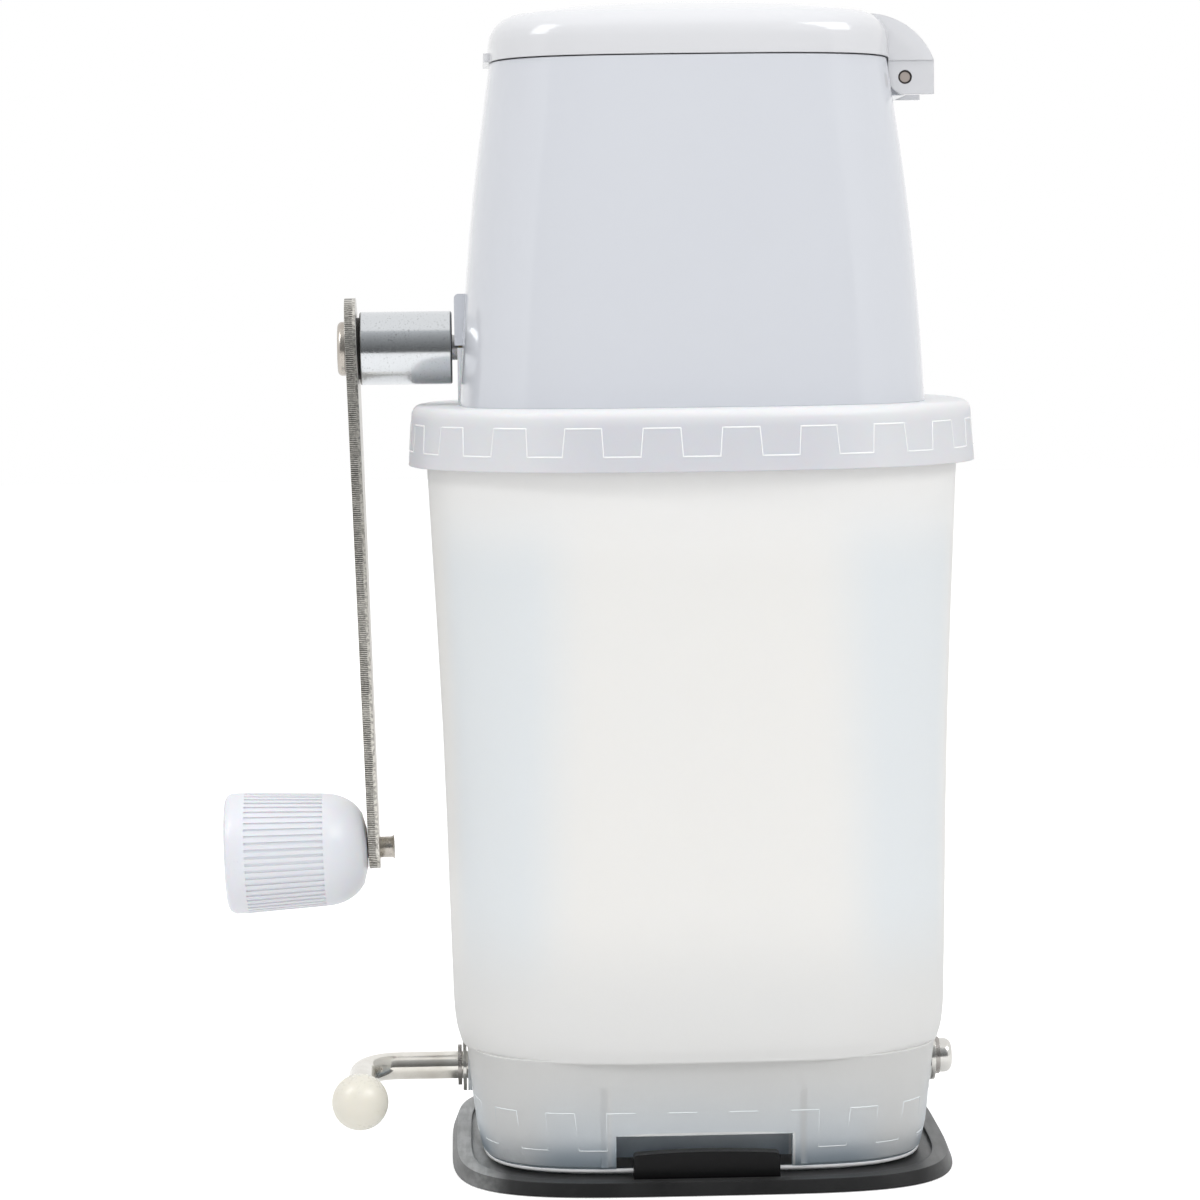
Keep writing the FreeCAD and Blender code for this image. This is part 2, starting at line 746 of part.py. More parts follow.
def make_hopper():
    outer = loft(hopper_levels())
    web = slab(hinge_x - 2 * knuckle_radius, hinge_x, -knuckle_half_length,
               knuckle_half_length, hinge_z - knuckle_radius, hinge_z + knuckle_radius)
    barrel = rod_y(knuckle_radius, -knuckle_half_length, knuckle_half_length, x=hinge_x, z=hinge_z)
    cavity = hopper_cavity()
    shell = join([outer, web, barrel]).cut(cavity).fuse(pocket_backing().common(outer))
    shell = shell.cut(ear_pocket(-1)).cut(ear_pocket(1))
    left = upper_bearing(upper_boss_x, -bearing_inner_x)
    crest = [edge for edge in left.Edges if edge.BoundBox.XMax < upper_boss_x + seat_gap
             and edge.BoundBox.ZMin > bearing_top_z - seat_gap]
    left = left.makeFillet(boss_corner_round, crest)
    right = upper_bearing(bearing_inner_x, right_bearing_x + hopper_wall / 2)
    posts = [screw_post(x, y).common(outer) for x, y in screw_places()]
    pip_x = half_width_at(hopper_levels(), shaft_z)
    pip = rod_x(axle_pip_radius, pip_x - hopper_wall / 2, pip_x + axle_pip_proud, z=shaft_z)
    shell = join([shell, left, right, pip] + posts)
    doorway = slab(-collar_half_width, -bearing_inner_x, -bearing_half_depth - sliding_clearance,
                   bearing_half_depth + sliding_clearance, collar_top_z, shaft_z + bearing_slit)
    left_bore = rod_x(bush_radius, -collar_half_width, seat_gap - bearing_inner_x, z=shaft_z)
    right_bore = rod_x(bush_radius, bearing_inner_x - seat_gap, right_bearing_x, z=shaft_z)
    pilots = [rod_z(screw_radius, collar_top_z, collar_top_z + screw_length + screw_tip_gap, x, y)
              for x, y in screw_places()]
    pin_bore = rod_y(hinge_pin_radius, -knuckle_half_length, knuckle_half_length, x=hinge_x, z=hinge_z)
    return shell.cut(doorway).cut(left_bore).cut(right_bore).cut(pin_bore).cut(Part.makeCompound(pilots))


def make_hopper_screws():
    screws = []
    for x, y in screw_places():
        screw = pan_screw(screw_radius, collar_plate + screw_length, screw_head_radius,
                          screw_head_height, screw_slot_width, screw_slot_depth)
        screw.translate(V(x, y, collar_plate_z))
        screws.append(screw)
    return Part.makeCompound(screws)


# ================================================================ breaker grate
def make_breaker_grate():
    plate = slab(-grate_half_width, grate_half_width, -grate_half_depth, grate_half_depth,
                 collar_top_z, collar_top_z + grate_thickness)
    corners = [edge for edge in plate.Edges if edge.BoundBox.ZLength > grate_thickness / 2]
    plate = plate.makeFillet(grate_corner_round, corners)
    slots = []
    for x in blade_places():
        slots.append(slab(x - grate_slot_width / 2, x + grate_slot_width / 2, -grate_slot_half_length,
                          grate_slot_half_length, collar_top_z, collar_top_z + grate_thickness))
    for x, y in grate_screw_places():
        slots.append(rod_z(grate_screw_radius + sliding_clearance, collar_top_z,
                           collar_top_z + grate_thickness, x, y))
    return plate.cut(Part.makeCompound(slots))


def make_grate_screws():
    screws = []
    for x, y in grate_screw_places():
        screw = pan_screw(grate_screw_radius, grate_screw_length, grate_screw_head_radius,
                          grate_screw_head_height, grate_screw_slot_width, grate_screw_slot_depth)
        screw.rotate(V(0, 0, 0), AXIS_X, 180)
        screw.translate(V(x, y, collar_top_z + grate_thickness))
        screws.append(screw)
    return Part.makeCompound(screws)


# ================================================================ bearings and rotor
def make_bush(side):
    """Flanged bearing bush; side is -1 on the crank side and 1 on the far side."""
    outer_x = -lower_boss_x - seat_gap if side < 0 else right_bearing_x - seat_gap
    flange_x = bearing_inner_x - bush_flange_thickness
    tube = rod_x(bush_radius, bearing_inner_x, outer_x, z=shaft_z)
    flange = rod_x(bush_flange_radius, flange_x, bearing_inner_x, z=shaft_z)
    bore = rod_x(journal_radius + running_clearance, flange_x, outer_x, z=shaft_z)
    bush = tube.fuse(flange).cut(bore).removeSplitter()
    if side < 0:
        bush = bush.mirror(V(0, 0, 0), AXIS_X)
    return bush


core_half_length = bearing_inner_x - bush_flange_thickness - core_end_gap
sleeve_right_x = upper_boss_x - sleeve_gap
sleeve_left_x = sleeve_right_x - sleeve_length


def blade_places():
    first = -(blade_count - 1) / 2 * blade_pitch
    return [first + index * blade_pitch for index in range(blade_count)]


def core_bar(x0, x1):
    half = core_size / 2
    return slab(x0, x1, -half, half, shaft_z - half, shaft_z + half)


def make_rotor_shaft():
    left = rod_x(journal_radius, sleeve_right_x - sleeve_bore_depth, -core_half_length, z=shaft_z)
    right = rod_x(journal_radius, core_half_length, right_bearing_x - 2 * seat_gap, z=shaft_z)
    return join([left, core_bar(-core_half_length, core_half_length), right])


def make_blade(index):
    """Star of hooked teeth on the square core, each star turned a little from the last."""
    x = blade_places()[index]
    points = []
    for tooth in range(blade_teeth):
        start = 360 / blade_teeth * tooth
        for radius, angle in ((blade_tip_radius, start), (blade_root_radius, start + blade_hook_angle),
                              (blade_root_radius, start + 360 / blade_teeth - blade_hook_angle / 3)):
            turn = math.radians(angle)
            points.append(V(x - blade_thickness / 2, radius * math.cos(turn), radius * math.sin(turn)))
    star = Part.Face(Part.makePolygon(points + [points[0]])).extrude(V(blade_thickness, 0, 0))
    star.rotate(V(0, 0, 0), AXIS_X, blade_stagger * index)
    star.translate(V(0, 0, shaft_z))
    return star.cut(core_bar(x - blade_thickness, x + blade_thickness))


def make_rotor_spacers():
    """Plain tubes that keep the blades apart along the core."""
    stops = [-core_half_length] + blade_places() + [core_half_length]
    spacers = []
    for index, (start, end) in enumerate(zip(stops, stops[1:])):
        x0 = start if index == 0 else start + blade_thickness / 2
        x1 = end if index == len(stops) - 2 else end - blade_thickness / 2
        spacers.append(rod_x(spacer_radius, x0, x1, z=shaft_z).cut(core_bar(x0, x1)))
    return Part.makeCompound(spacers)


# ================================================================ crank
arm_right_x = sleeve_left_x - arm_face_gap
arm_left_x = arm_right_x - arm_thickness
arm_pivot = V((arm_left_x + arm_right_x) / 2, 0, shaft_z)
knob_z = shaft_z - arm_length


def lean(shape):
    """Turn a crank piece drawn upright to the arm's inward lean."""
    shape.rotate(arm_pivot, AXIS_Y, -arm_lean)
    return shape


def make_hub_sleeve():
    tube = rod_x(sleeve_radius, sleeve_left_x, sleeve_right_x, z=shaft_z)
    rims = [edge for edge in tube.Edges if edge.BoundBox.XLength < seat_gap]
    tube = tube.makeChamfer(seat_gap, rims)
    half = tenon_size / 2
    tenon = slab(arm_left_x, sleeve_left_x + seat_gap, -half, half, shaft_z - half, shaft_z + half)
    shaft_bore = rod_x(journal_radius, sleeve_right_x - sleeve_bore_depth, sleeve_right_x, z=shaft_z)
    rivet_bore = rod_x(rivet_shank_radius, arm_left_x, arm_left_x + rivet_shank_length, z=shaft_z)
    return tube.fuse(tenon).cut(shaft_bore).cut(rivet_bore).removeSplitter()


def make_crank_arm():
    """Flat bar, wide at the hub and narrow at the knob, with a round at each end."""
    slope = math.asin((arm_top_radius - arm_bottom_radius) / arm_length)
    corners = []
    for side, radius, z in ((1, arm_top_radius, shaft_z), (1, arm_bottom_radius, knob_z),
                            (-1, arm_bottom_radius, knob_z), (-1, arm_top_radius, shaft_z)):
        corners.append(V(arm_left_x, side * radius * math.cos(slope), z - radius * math.sin(slope)))
    bar = Part.Face(Part.makePolygon(corners + [corners[0]])).extrude(V(arm_thickness, 0, 0))
    top = rod_x(arm_top_radius, arm_left_x, arm_right_x, z=shaft_z)
    bottom = rod_x(arm_bottom_radius, arm_left_x, arm_right_x, z=knob_z)
    half = tenon_size / 2 + tenon_gap
    square_hole = slab(arm_left_x, arm_right_x, -half, half, shaft_z - half, shaft_z + half)
    pin_hole = rod_x(pin_radius, arm_left_x, arm_right_x, z=knob_z)
    return lean(join([bar, top, bottom]).cut(square_hole).cut(pin_hole))


def make_crank_rivet():
    """Button rivet that closes the tenon over the arm."""
    head_x = arm_left_x - seat_gap
    head = rod_x(rivet_head_radius, head_x - rivet_head_height, head_x, z=shaft_z)
    rim = [edge for edge in head.Edges if edge.BoundBox.XMax < head_x - rivet_head_height / 2]
    head = head.makeFillet(rivet_edge_round, rim)
    shank = rod_x(rivet_shank_radius, head_x, arm_left_x + rivet_shank_length, z=shaft_z)
    return head.fuse(shank).removeSplitter()


# ================================================================ knob
knob_inner_x = arm_left_x - knob_gap
knob_outer_x = knob_inner_x - knob_length
dome_start_x = knob_inner_x - knob_dome_length


def knob_profile():
    """Outline of the knob from the arm side to the grip end, as (x, radius)."""
    profile = [(knob_inner_x, 0.0), (knob_inner_x, knob_tip_radius)]
    for step in range(1, knob_dome_steps + 1):
        share = step / knob_dome_steps
        bulge = math.sqrt(1 - (1 - share) ** 2)
        radius = knob_tip_radius + (knob_waist_radius - knob_tip_radius) * bulge
        profile.append((knob_inner_x - share * knob_dome_length, radius))
    profile.append((knob_outer_x + knob_band, knob_radius))
    profile.append((knob_outer_x + knob_edge_round, knob_radius))
    profile.append((knob_outer_x + knob_edge_round / 3, knob_radius - knob_edge_round / 3))
    profile.append((knob_outer_x, knob_radius - knob_edge_round))
    profile.append((knob_outer_x, 0.0))
    return profile


def make_knob():
    body = revolve_x(knob_profile(), knob_z)
    groove_half = math.radians(360 / knob_rib_count) * knob_radius * (1 - knob_rib_share) / 2
    groove_x0 = knob_outer_x + knob_band
    grooves = []
    for index in range(knob_rib_count):
        groove = slab(groove_x0, dome_start_x, -groove_half, groove_half, 0, 2 * knob_rib_depth)
        taper = math.degrees(math.atan((knob_radius - knob_waist_radius) / (dome_start_x - groove_x0)))
        groove.rotate(V(groove_x0, 0, 0), AXIS_Y, taper)
        groove.translate(V(0, 0, knob_radius - knob_rib_depth))
        groove.rotate(V(0, 0, 0), AXIS_X, 360 / knob_rib_count * index)
        groove.translate(V(0, 0, knob_z))
        grooves.append(groove)
    bore = rod_x(pin_radius + running_clearance, knob_outer_x, knob_inner_x, z=knob_z)
    recess = rod_x(knob_recess_radius, knob_outer_x, knob_outer_x + knob_recess_depth, z=knob_z)
    return lean(body.cut(Part.makeCompound(grooves)).cut(bore).cut(recess))


def make_knob_pin():
    """Tubular rivet: a flat head in the knob's end and a flared tail behind the arm."""
    head_x = knob_outer_x + knob_recess_depth - sliding_clearance
    tail_x = arm_right_x + pin_tail_length
    head = rod_x(pin_head_radius, head_x - pin_head_thickness, head_x, z=knob_z)
    shank = rod_x(pin_radius, head_x, tail_x, z=knob_z)
    flare = Part.makeCone(pin_radius, pin_radius + pin_flare, pin_flare * 2,
                          V(tail_x - pin_flare * 2, 0, knob_z), AXIS_X)
    bore = rod_x(pin_bore_radius, head_x - pin_head_thickness, tail_x, z=knob_z)
    return lean(join([head, shank, flare]).cut(bore))


# ================================================================ lid and hinge
lid_top_z = lid_rim_z + lid_side_height + lid_crown
lid_flat_share = 1 - lid_edge_round / lid_half_width
lid_shoulder_z = lid_top_z - lid_crown * lid_flat_share ** 2 - lid_edge_round


def lid_levels():
    """Side, rounded shoulder and gently crowned top of the lid, from the rim up."""
    def level(z, inset):
        return (z, lid_half_width - inset, lid_half_depth - inset, lid_squareness)

    levels = [level(lid_rim_z, 0)]
    for step in range(edge_steps + 1):
        turn = math.radians(90 * step / edge_steps)
        levels.append(level(lid_shoulder_z + lid_edge_round * math.sin(turn),
                            lid_edge_round * (1 - math.cos(turn))))
    for step in range(1, edge_steps):
        share = lid_flat_share * (1 - step / edge_steps)
        levels.append((lid_top_z - lid_crown * share ** 2, lid_half_width * share,
                       lid_half_depth * share, lid_squareness))
    return levels


def hinge_hood(inset, half_length):
    """Cover over the hinge: an arc from the lid's top down to a short skirt outside the ears."""
    low_z = lid_rim_z - hood_skirt
    top_z = lid_rim_z + hood_height - inset
    inner_x = hinge_x - hood_inset_x
    start = V(hinge_x - hood_start - inset / 2, -half_length, top_z)
    end = V(hood_outer_x - inset, -half_length, low_z)
    chord = end.sub(start)
    outward = V(-chord.z, 0, chord.x).normalize()
    middle = start.add(end).multiply(0.5).add(outward.multiply(hood_bulge))
    crest = Part.Arc(start, middle, end).toShape()
    corners = [end, V(hinge_x - ear_radius, -half_length, low_z),
               V(hinge_x - ear_radius, -half_length, lid_rim_z), V(inner_x, -half_length, lid_rim_z),
               V(inner_x, -half_length, top_z), start]
    outline = Part.Wire([crest] + Part.makePolygon(corners).Edges)
    return Part.Face(outline).extrude(V(0, 2 * half_length, 0))


def lid_ear(side):
    """Hinge ear with a round about the pin and a square outer foot."""
    y0 = min(side * ear_inner_y, side * ear_outer_y)
    y1 = y0 + ear_thickness
    disc = rod_y(ear_radius, y0, y1, x=hinge_x, z=hinge_z)
    top_z = lid_rim_z - hood_skirt
    foot = slab(hinge_x, hood_outer_x, y0, y1, hinge_z - hinge_foot_drop, top_z)
    cheek = slab(hinge_x - ear_radius, hinge_x + ear_radius, y0, y1, hinge_z, top_z)
    return disc.multiFuse([foot, cheek])


def make_lid():
    outer = loft(lid_levels())
    hood = hinge_hood(0.0, ear_outer_y + hood_proud)
    solid = join([outer, hood, lid_ear(-1), lid_ear(1)])
    cavity = loft(lid_levels(), lid_wall)
    cavity.translate(V(0, 0, -lid_wall))
    under_hood = slab(hinge_x - ear_radius - lid_wall, hood_outer_x - lid_wall, -ear_inner_y,
                      ear_inner_y, lid_rim_z - 2 * hood_skirt, lid_rim_z)
    shell = solid.cut(cavity).cut(hinge_hood(lid_wall, ear_inner_y)).cut(under_hood)
    lip = slab(-lid_half_width - lip_proud, -lid_half_width + lid_wall / 2, -lip_half_length,
               lip_half_length, lid_rim_z, lid_rim_z + lip_height)
    ends = [edge for edge in lip.Edges if edge.BoundBox.ZLength > lip_height / 2
            and edge.BoundBox.XMax < -lid_half_width]
    lip = lip.makeFillet(lip_corner_round, ends)
    tab_x = hopper_wall + sliding_clearance * 2 - hopper_top_half_width
    tab = slab(tab_x, tab_x + locating_tab_thickness, -locating_tab_half_length,
               locating_tab_half_length, hopper_top_z - locating_tab_depth,
               lid_shoulder_z + lid_edge_round / 2)
    bore = rod_y(hinge_pin_radius + running_clearance, -ear_outer_y, ear_outer_y, x=hinge_x, z=hinge_z)
    return join([shell, lip, tab]).cut(bore)


def make_hinge_pin():
    reach = ear_outer_y - pin_recess
    return rod_y(hinge_pin_radius, -reach, reach, x=hinge_x, z=hinge_z)


# ================================================================ files
def save(name, shape):
    shape.exportStep("parts/" + name + ".step")


os.makedirs("parts", exist_ok=True)
save("container", make_container())
save("suction_pad", make_suction_pad())
save("suction_stud", make_suction_stud())
save("suction_cam", make_suction_cam())
save("lever_shaft", make_lever_shaft())
save("lever_ball", make_lever_ball())
save("lever_washer", make_lever_washer())
save("lever_clip", make_lever_clip())
save("lever_end_washer", make_lever_end_washer())
save("lever_lock_washer", make_lever_lock_washer())
save("lever_end_screw", make_lever_end_screw())
save("collar", make_collar())
save("hopper", make_hopper())
save("hopper_screws", make_hopper_screws())
save("breaker_grate", make_breaker_grate())
save("grate_screws", make_grate_screws())
save("crank_side_bush", make_bush(-1))
save("far_side_bush", make_bush(1))
save("rotor_shaft", make_rotor_shaft())
for blade in range(blade_count):
    save("blade_" + str(blade + 1), make_blade(blade))
save("rotor_spacers", make_rotor_spacers())
save("hub_sleeve", make_hub_sleeve())
save("crank_arm", make_crank_arm())
save("crank_rivet", make_crank_rivet())
save("knob", make_knob())
save("knob_pin", make_knob_pin())
save("lid", make_lid())
save("hinge_pin", make_hinge_pin())
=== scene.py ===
import math

import bmesh
import bpy
from mathutils import Matrix, Vector


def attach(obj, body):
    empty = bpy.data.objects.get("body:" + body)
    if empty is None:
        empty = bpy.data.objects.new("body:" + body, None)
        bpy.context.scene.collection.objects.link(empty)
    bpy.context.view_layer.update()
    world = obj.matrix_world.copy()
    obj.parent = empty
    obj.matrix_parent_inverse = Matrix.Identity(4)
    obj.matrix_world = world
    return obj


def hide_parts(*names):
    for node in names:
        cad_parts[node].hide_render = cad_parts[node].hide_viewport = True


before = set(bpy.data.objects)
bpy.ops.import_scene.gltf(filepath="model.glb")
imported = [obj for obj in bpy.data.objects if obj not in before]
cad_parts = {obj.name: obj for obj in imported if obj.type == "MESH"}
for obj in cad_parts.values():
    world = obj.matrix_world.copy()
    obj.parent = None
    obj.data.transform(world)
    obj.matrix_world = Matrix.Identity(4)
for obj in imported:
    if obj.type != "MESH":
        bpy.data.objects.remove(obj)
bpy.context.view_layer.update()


# ------------------------------------------------------------------ container
# Tapering receptacle with its floor, foot skirt and lever bosses, injection moulded in one shot of
# frosted polypropylene. The skirt under the ledge is thin enough to show the dark pad through it, and
# the pad's grey is also painted into it as shade.

def surface_group(name, inputs):
    """Shader group with named inputs (name, default) that gives a colour, a roughness and a height."""
    group = bpy.data.node_groups.new(name, "ShaderNodeTree")
    kinds = {3: "NodeSocketVector", 4: "NodeSocketColor"}
    for label, value in inputs:
        kind = "NodeSocketFloat" if isinstance(value, float) else kinds[len(value)]
        socket = group.interface.new_socket(name=label, in_out="INPUT", socket_type=kind)
        socket.default_value = value
    for label, kind in (("Colour", "NodeSocketColor"), ("Roughness", "NodeSocketFloat"),
                        ("Height", "NodeSocketFloat")):
        group.interface.new_socket(name=label, in_out="OUTPUT", socket_type=kind)
    return group, group.nodes.new("NodeGroupInput").outputs, group.nodes.new("NodeGroupOutput").inputs


def give(ports_out, colour, roughness, height):
    """Lead the three results out of a surface group."""
    for label, result in (("Colour", colour), ("Roughness", roughness), ("Height", height)):
        result.id_data.links.new(result, ports_out[label])


def add_node(tree, kind, settings=None, **plugs):
    """Node with its settings, and its inputs set to a value or fed from another node's output."""
    node = tree.nodes.new(kind)
    for key, value in (settings or {}).items():
        setattr(node, key, value)
    for label, value in plugs.items():
        by_number = label[0] == "i" and label[1:].isdigit()
        socket = node.inputs[int(label[1:]) if by_number else label]
        if isinstance(value, bpy.types.NodeSocket):
            tree.links.new(value, socket)
        else:
            socket.default_value = value
    return node


def maths(operation, *terms):
    """Result of one arithmetic step, in the tree of the first term that is a socket."""
    tree = next(term.id_data for term in terms if isinstance(term, bpy.types.NodeSocket))
    plugs = {"i%d" % index: term for index, term in enumerate(terms)}
    return add_node(tree, "ShaderNodeMath", {"operation": operation}, **plugs).outputs[0]


def spread(value, low, high, start=0.0, end=1.0):
    """Map start..end to low..high, and hold it past both ends."""
    return add_node(value.id_data, "ShaderNodeMapRange", i0=value, i1=start, i2=end, i3=low,
                    i4=high).outputs[0]


def between(value, start, end, low=0.0, high=1.0):
    """Smooth step from low to high as a value goes from start to end."""
    return add_node(value.id_data, "ShaderNodeMapRange", {"interpolation_type": "SMOOTHSTEP"}, i0=value,
                    i1=start, i2=end, i3=low, i4=high).outputs[0]


def band(value, centre, half_width):
    """Soft band, 1 at its centre and 0 past its half width."""
    return between(maths("ABSOLUTE", maths("SUBTRACT", value, centre)), half_width, 0.0)


def mix_colour(share, low, high):
    """Colour between two, by a share."""
    mixer = add_node(share.id_data, "ShaderNodeMix", {"data_type": "RGBA"}, i0=share, i6=low, i7=high)
    return mixer.outputs[2]


def object_place(tree):
    """Position in the object's own coordinates."""
    return add_node(tree, "ShaderNodeTexCoord").outputs["Object"]


def axes_of(vector):
    """The three components of a vector."""
    return add_node(vector.id_data, "ShaderNodeSeparateXYZ", i0=vector).outputs


def stretched(place, factors):
    """Position scaled along each axis."""
    scaled = add_node(place.id_data, "ShaderNodeVectorMath", {"operation": "MULTIPLY"}, i0=place, i1=factors)
    return scaled.outputs[0]


def noise(place, size, detail, roughness=0.5):
    """Noise from 0 to 1, with a finer grain for a larger size."""
    return add_node(place.id_data, "ShaderNodeTexNoise", i0=place, Scale=size, Detail=detail,
                    Roughness=roughness).outputs[0]


# Moulded surface: cloudy flow marks in the colour, a faint orange peel, and fine grain in the gloss.
moulding, ports_in, ports_out = surface_group(
    "Moulded surface",
    [("Colour", (0.8, 0.8, 0.8, 1)), ("Cloud", (0.7, 0.7, 0.7, 1)), ("Flow Size", 18.0),
     ("Grain Size", 1400.0), ("Gloss Low", 0.2), ("Gloss High", 0.3), ("Peel", 0.3)])
place = object_place(moulding)
flow = noise(place, ports_in["Flow Size"], 3.0)
grain = noise(place, ports_in["Grain Size"], 2.0, 0.6)
peel = noise(place, 260.0, 1.0)
unevenness = maths("MULTIPLY_ADD", flow, 0.5, maths("MULTIPLY", grain, 0.5))
give(ports_out, mix_colour(flow, ports_in["Colour"], ports_in["Cloud"]),
     spread(unevenness, ports_in["Gloss Low"], ports_in["Gloss High"]),
     maths("MULTIPLY_ADD", peel, ports_in["Peel"], grain))


def finish_of(name, group, values, shader, bump=0.1, bump_depth=0.0001, edge=0.0):
    """Material whose colour, gloss and relief come from a surface group, the rest from the shader."""
    material = bpy.data.materials.new(name)
    material.use_nodes = True
    tree = material.node_tree
    tree.nodes.clear()
    surface = add_node(tree, "ShaderNodeGroup", {"node_tree": group}, **values)
    skin = add_node(tree, "ShaderNodeBsdfPrincipled", **shader)
    tree.links.new(surface.outputs["Colour"], skin.inputs["Base Color"])
    tree.links.new(surface.outputs["Roughness"], skin.inputs["Roughness"])
    relief = add_node(tree, "ShaderNodeBump", Strength=bump, Distance=bump_depth,
                      Height=surface.outputs["Height"])
    if edge:
        softened = add_node(tree, "ShaderNodeBevel", {"samples": 4}, Radius=edge)
        tree.links.new(softened.outputs[0], relief.inputs["Normal"])
    tree.links.new(relief.outputs[0], skin.inputs["Normal"])
    end = add_node(tree, "ShaderNodeOutputMaterial")
    tree.links.new(skin.outputs[0], end.inputs[0])
    return material


def welded(node, name, body, material, crease=28.0, rounding=0.0):
    """Stand-in for a node: its mesh welded, shaded smooth between creases and its edges broken."""
    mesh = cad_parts[node].data.copy()
    mesh.name = name
    for layer in ("custom_normal", "sharp_edge", "sharp_face"):
        if layer in mesh.attributes:
            mesh.attributes.remove(mesh.attributes[layer])
    skin = bmesh.new()
    skin.from_mesh(mesh)
    bmesh.ops.remove_doubles(skin, verts=skin.verts, dist=2e-6)
    for face in skin.faces:
        face.smooth = True
    if rounding:
        bmesh.ops.dissolve_limit(skin, angle_limit=math.radians(0.5), verts=skin.verts, edges=skin.edges)
    skin.to_mesh(mesh)
    skin.free()
    mesh.set_sharp_from_angle(angle=math.radians(crease))
    mesh.materials.clear()
    mesh.materials.append(material)
    piece = bpy.data.objects.new(name, mesh)
    bpy.context.collection.objects.link(piece)
    if rounding:
        broken = piece.modifiers.new("broken edges", "BEVEL")
        broken.width, broken.segments = rounding, 2
        broken.limit_method, broken.angle_limit = "ANGLE", math.radians(crease)
        broken.harden_normals = True
    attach(piece, body)
    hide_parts(node)
    return piece


def dress(node, material):
    """Give a node that stays as it is a finish of its own."""
    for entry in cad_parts[node].material_slots:
        entry.material = material


# Frosted shell: warm where the wall is flat, with painted shade that makes it bluer in its corners. Painted
# light brightens the top under the collar's overhang, and painted shade greys it towards the container's
# floor. Under the ledge the grey of the pad behind it is painted in, weaker in the corners and at the ribs,
# with painted highlights as pale bands round the window and along the foot.
rib_places, rib_half_width = (-0.0222, 0.0212), 0.0011
window_middle, window_half_width, window_top, window_side = -0.0009, 0.0205, 0.0114, 0.0191
line_half_width, jamb_top, jamb_full = 0.0005, 0.0118, 0.0112
foot_line_top, foot_line_full = 0.0032, 0.0027
floor_shade_top, floor_shade_full = 0.066, 0.036
deep_top, deep_full, wave = 0.0112, 0.0045, 0.008
shell_skin, ports_in, ports_out = surface_group(
    "Frosted shell",
    [("Wall", (0.98, 0.97, 0.94, 1)), ("Corner", (0.9, 0.93, 0.95, 1)), ("Foot", (0.5, 0.55, 0.6, 1)),
     ("Rim", (0.97, 0.975, 0.97, 1)), ("Brim", (0.99, 0.985, 0.97, 1)), ("Floor Shade", (0.83, 0.83, 0.82, 1)),
     ("Brim Low", 0.135), ("Brim High", 0.158), ("Deep Shade", (0.43, 0.50, 0.56, 1)), ("Ledge", 0.0286),
     ("Fade", 0.025)])
coordinates = add_node(shell_skin, "ShaderNodeTexCoord").outputs
place = coordinates["Object"]
axes, facing = axes_of(place), axes_of(coordinates["Normal"])
clouds = noise(place, 16.0, 3.0)
frost = noise(place, 1500.0, 2.0, 0.6)
# Painted shading by the way the wall faces: its corners take their own colour, a bluer shade on the container
# and a paler light on the collar.
corner_shading = between(maths("ABSOLUTE", maths("MULTIPLY", facing[0], facing[1])), 0.16, 0.46)
corner_shading_share = spread(maths("ADD", corner_shading, maths("MULTIPLY_ADD", clouds, 0.35, -0.12)), 0.0, 1.0)
tint = mix_colour(corner_shading_share, ports_in["Wall"], ports_in["Corner"])
# Painted light: a paler band at the top, under the collar's overhang on the container and along the top edge
# of the collar.
tint = mix_colour(between(axes[2], ports_in["Brim Low"], ports_in["Brim High"]), tint, ports_in["Brim"])
# Painted shade: greyer towards the container's floor.
tint = mix_colour(between(axes[2], floor_shade_top, floor_shade_full), tint, ports_in["Floor Shade"])

# Painted shade of the pad behind the wall under the ledge, less in the corners and at the two ribs.
front = between(facing[1], -0.7, -0.95)
pale = maths("MULTIPLY", corner_shading, 0.75)
for rib_place in rib_places:
    rib = maths("MULTIPLY", band(axes[0], rib_place, rib_half_width), front)
    pale = maths("MAXIMUM", pale, maths("MULTIPLY", rib, 0.45))
shown = maths("SUBTRACT", 1.0, pale)
wavy = maths("SUBTRACT", maths("MULTIPLY_ADD", clouds, wave, axes[2]), wave / 2)
under = between(wavy, ports_in["Ledge"], maths("SUBTRACT", ports_in["Ledge"], ports_in["Fade"]))
tint = mix_colour(maths("MULTIPLY", under, shown), tint, ports_in["Foot"])
# Painted shade: bluer and darker still towards the bottom of the skirt.
deep_shade = maths("MULTIPLY", between(wavy, deep_top, deep_full), shown)
tint = mix_colour(deep_shade, tint, ports_in["Deep Shade"])

# Painted highlights: pale lines over and beside the window and along the foot.
lintel_highlight = maths("MULTIPLY", band(axes[2], window_top, line_half_width),
               band(axes[0], window_middle, window_half_width))
jamb_highlight = maths("MULTIPLY", band(axes[0], window_side, line_half_width), between(axes[2], jamb_top, jamb_full))
edges = maths("MAXIMUM", between(lintel_highlight, 0.0, 0.2), jamb_highlight)
edges = maths("MAXIMUM", maths("MULTIPLY", edges, front), between(axes[2], foot_line_top, foot_line_full))
tint = mix_colour(edges, tint, ports_in["Rim"])
give(ports_out, tint, spread(clouds, 0.36, 0.5), frost)

frosted = finish_of("frosted polypropylene", shell_skin,
                    {"Wall": (0.93, 0.92, 0.895, 1), "Corner": (0.85, 0.885, 0.905, 1),
                     "Foot": (0.84, 0.88, 0.91, 1)},
                    {"IOR": 1.25, "Transmission Weight": 0.13, "Specular IOR Level": 0.4,
                     "Subsurface Weight": 0.08, "Subsurface Scale": 0.003,
                     "Subsurface Radius": (1.0, 0.95, 0.85)},
                    bump=0.12)
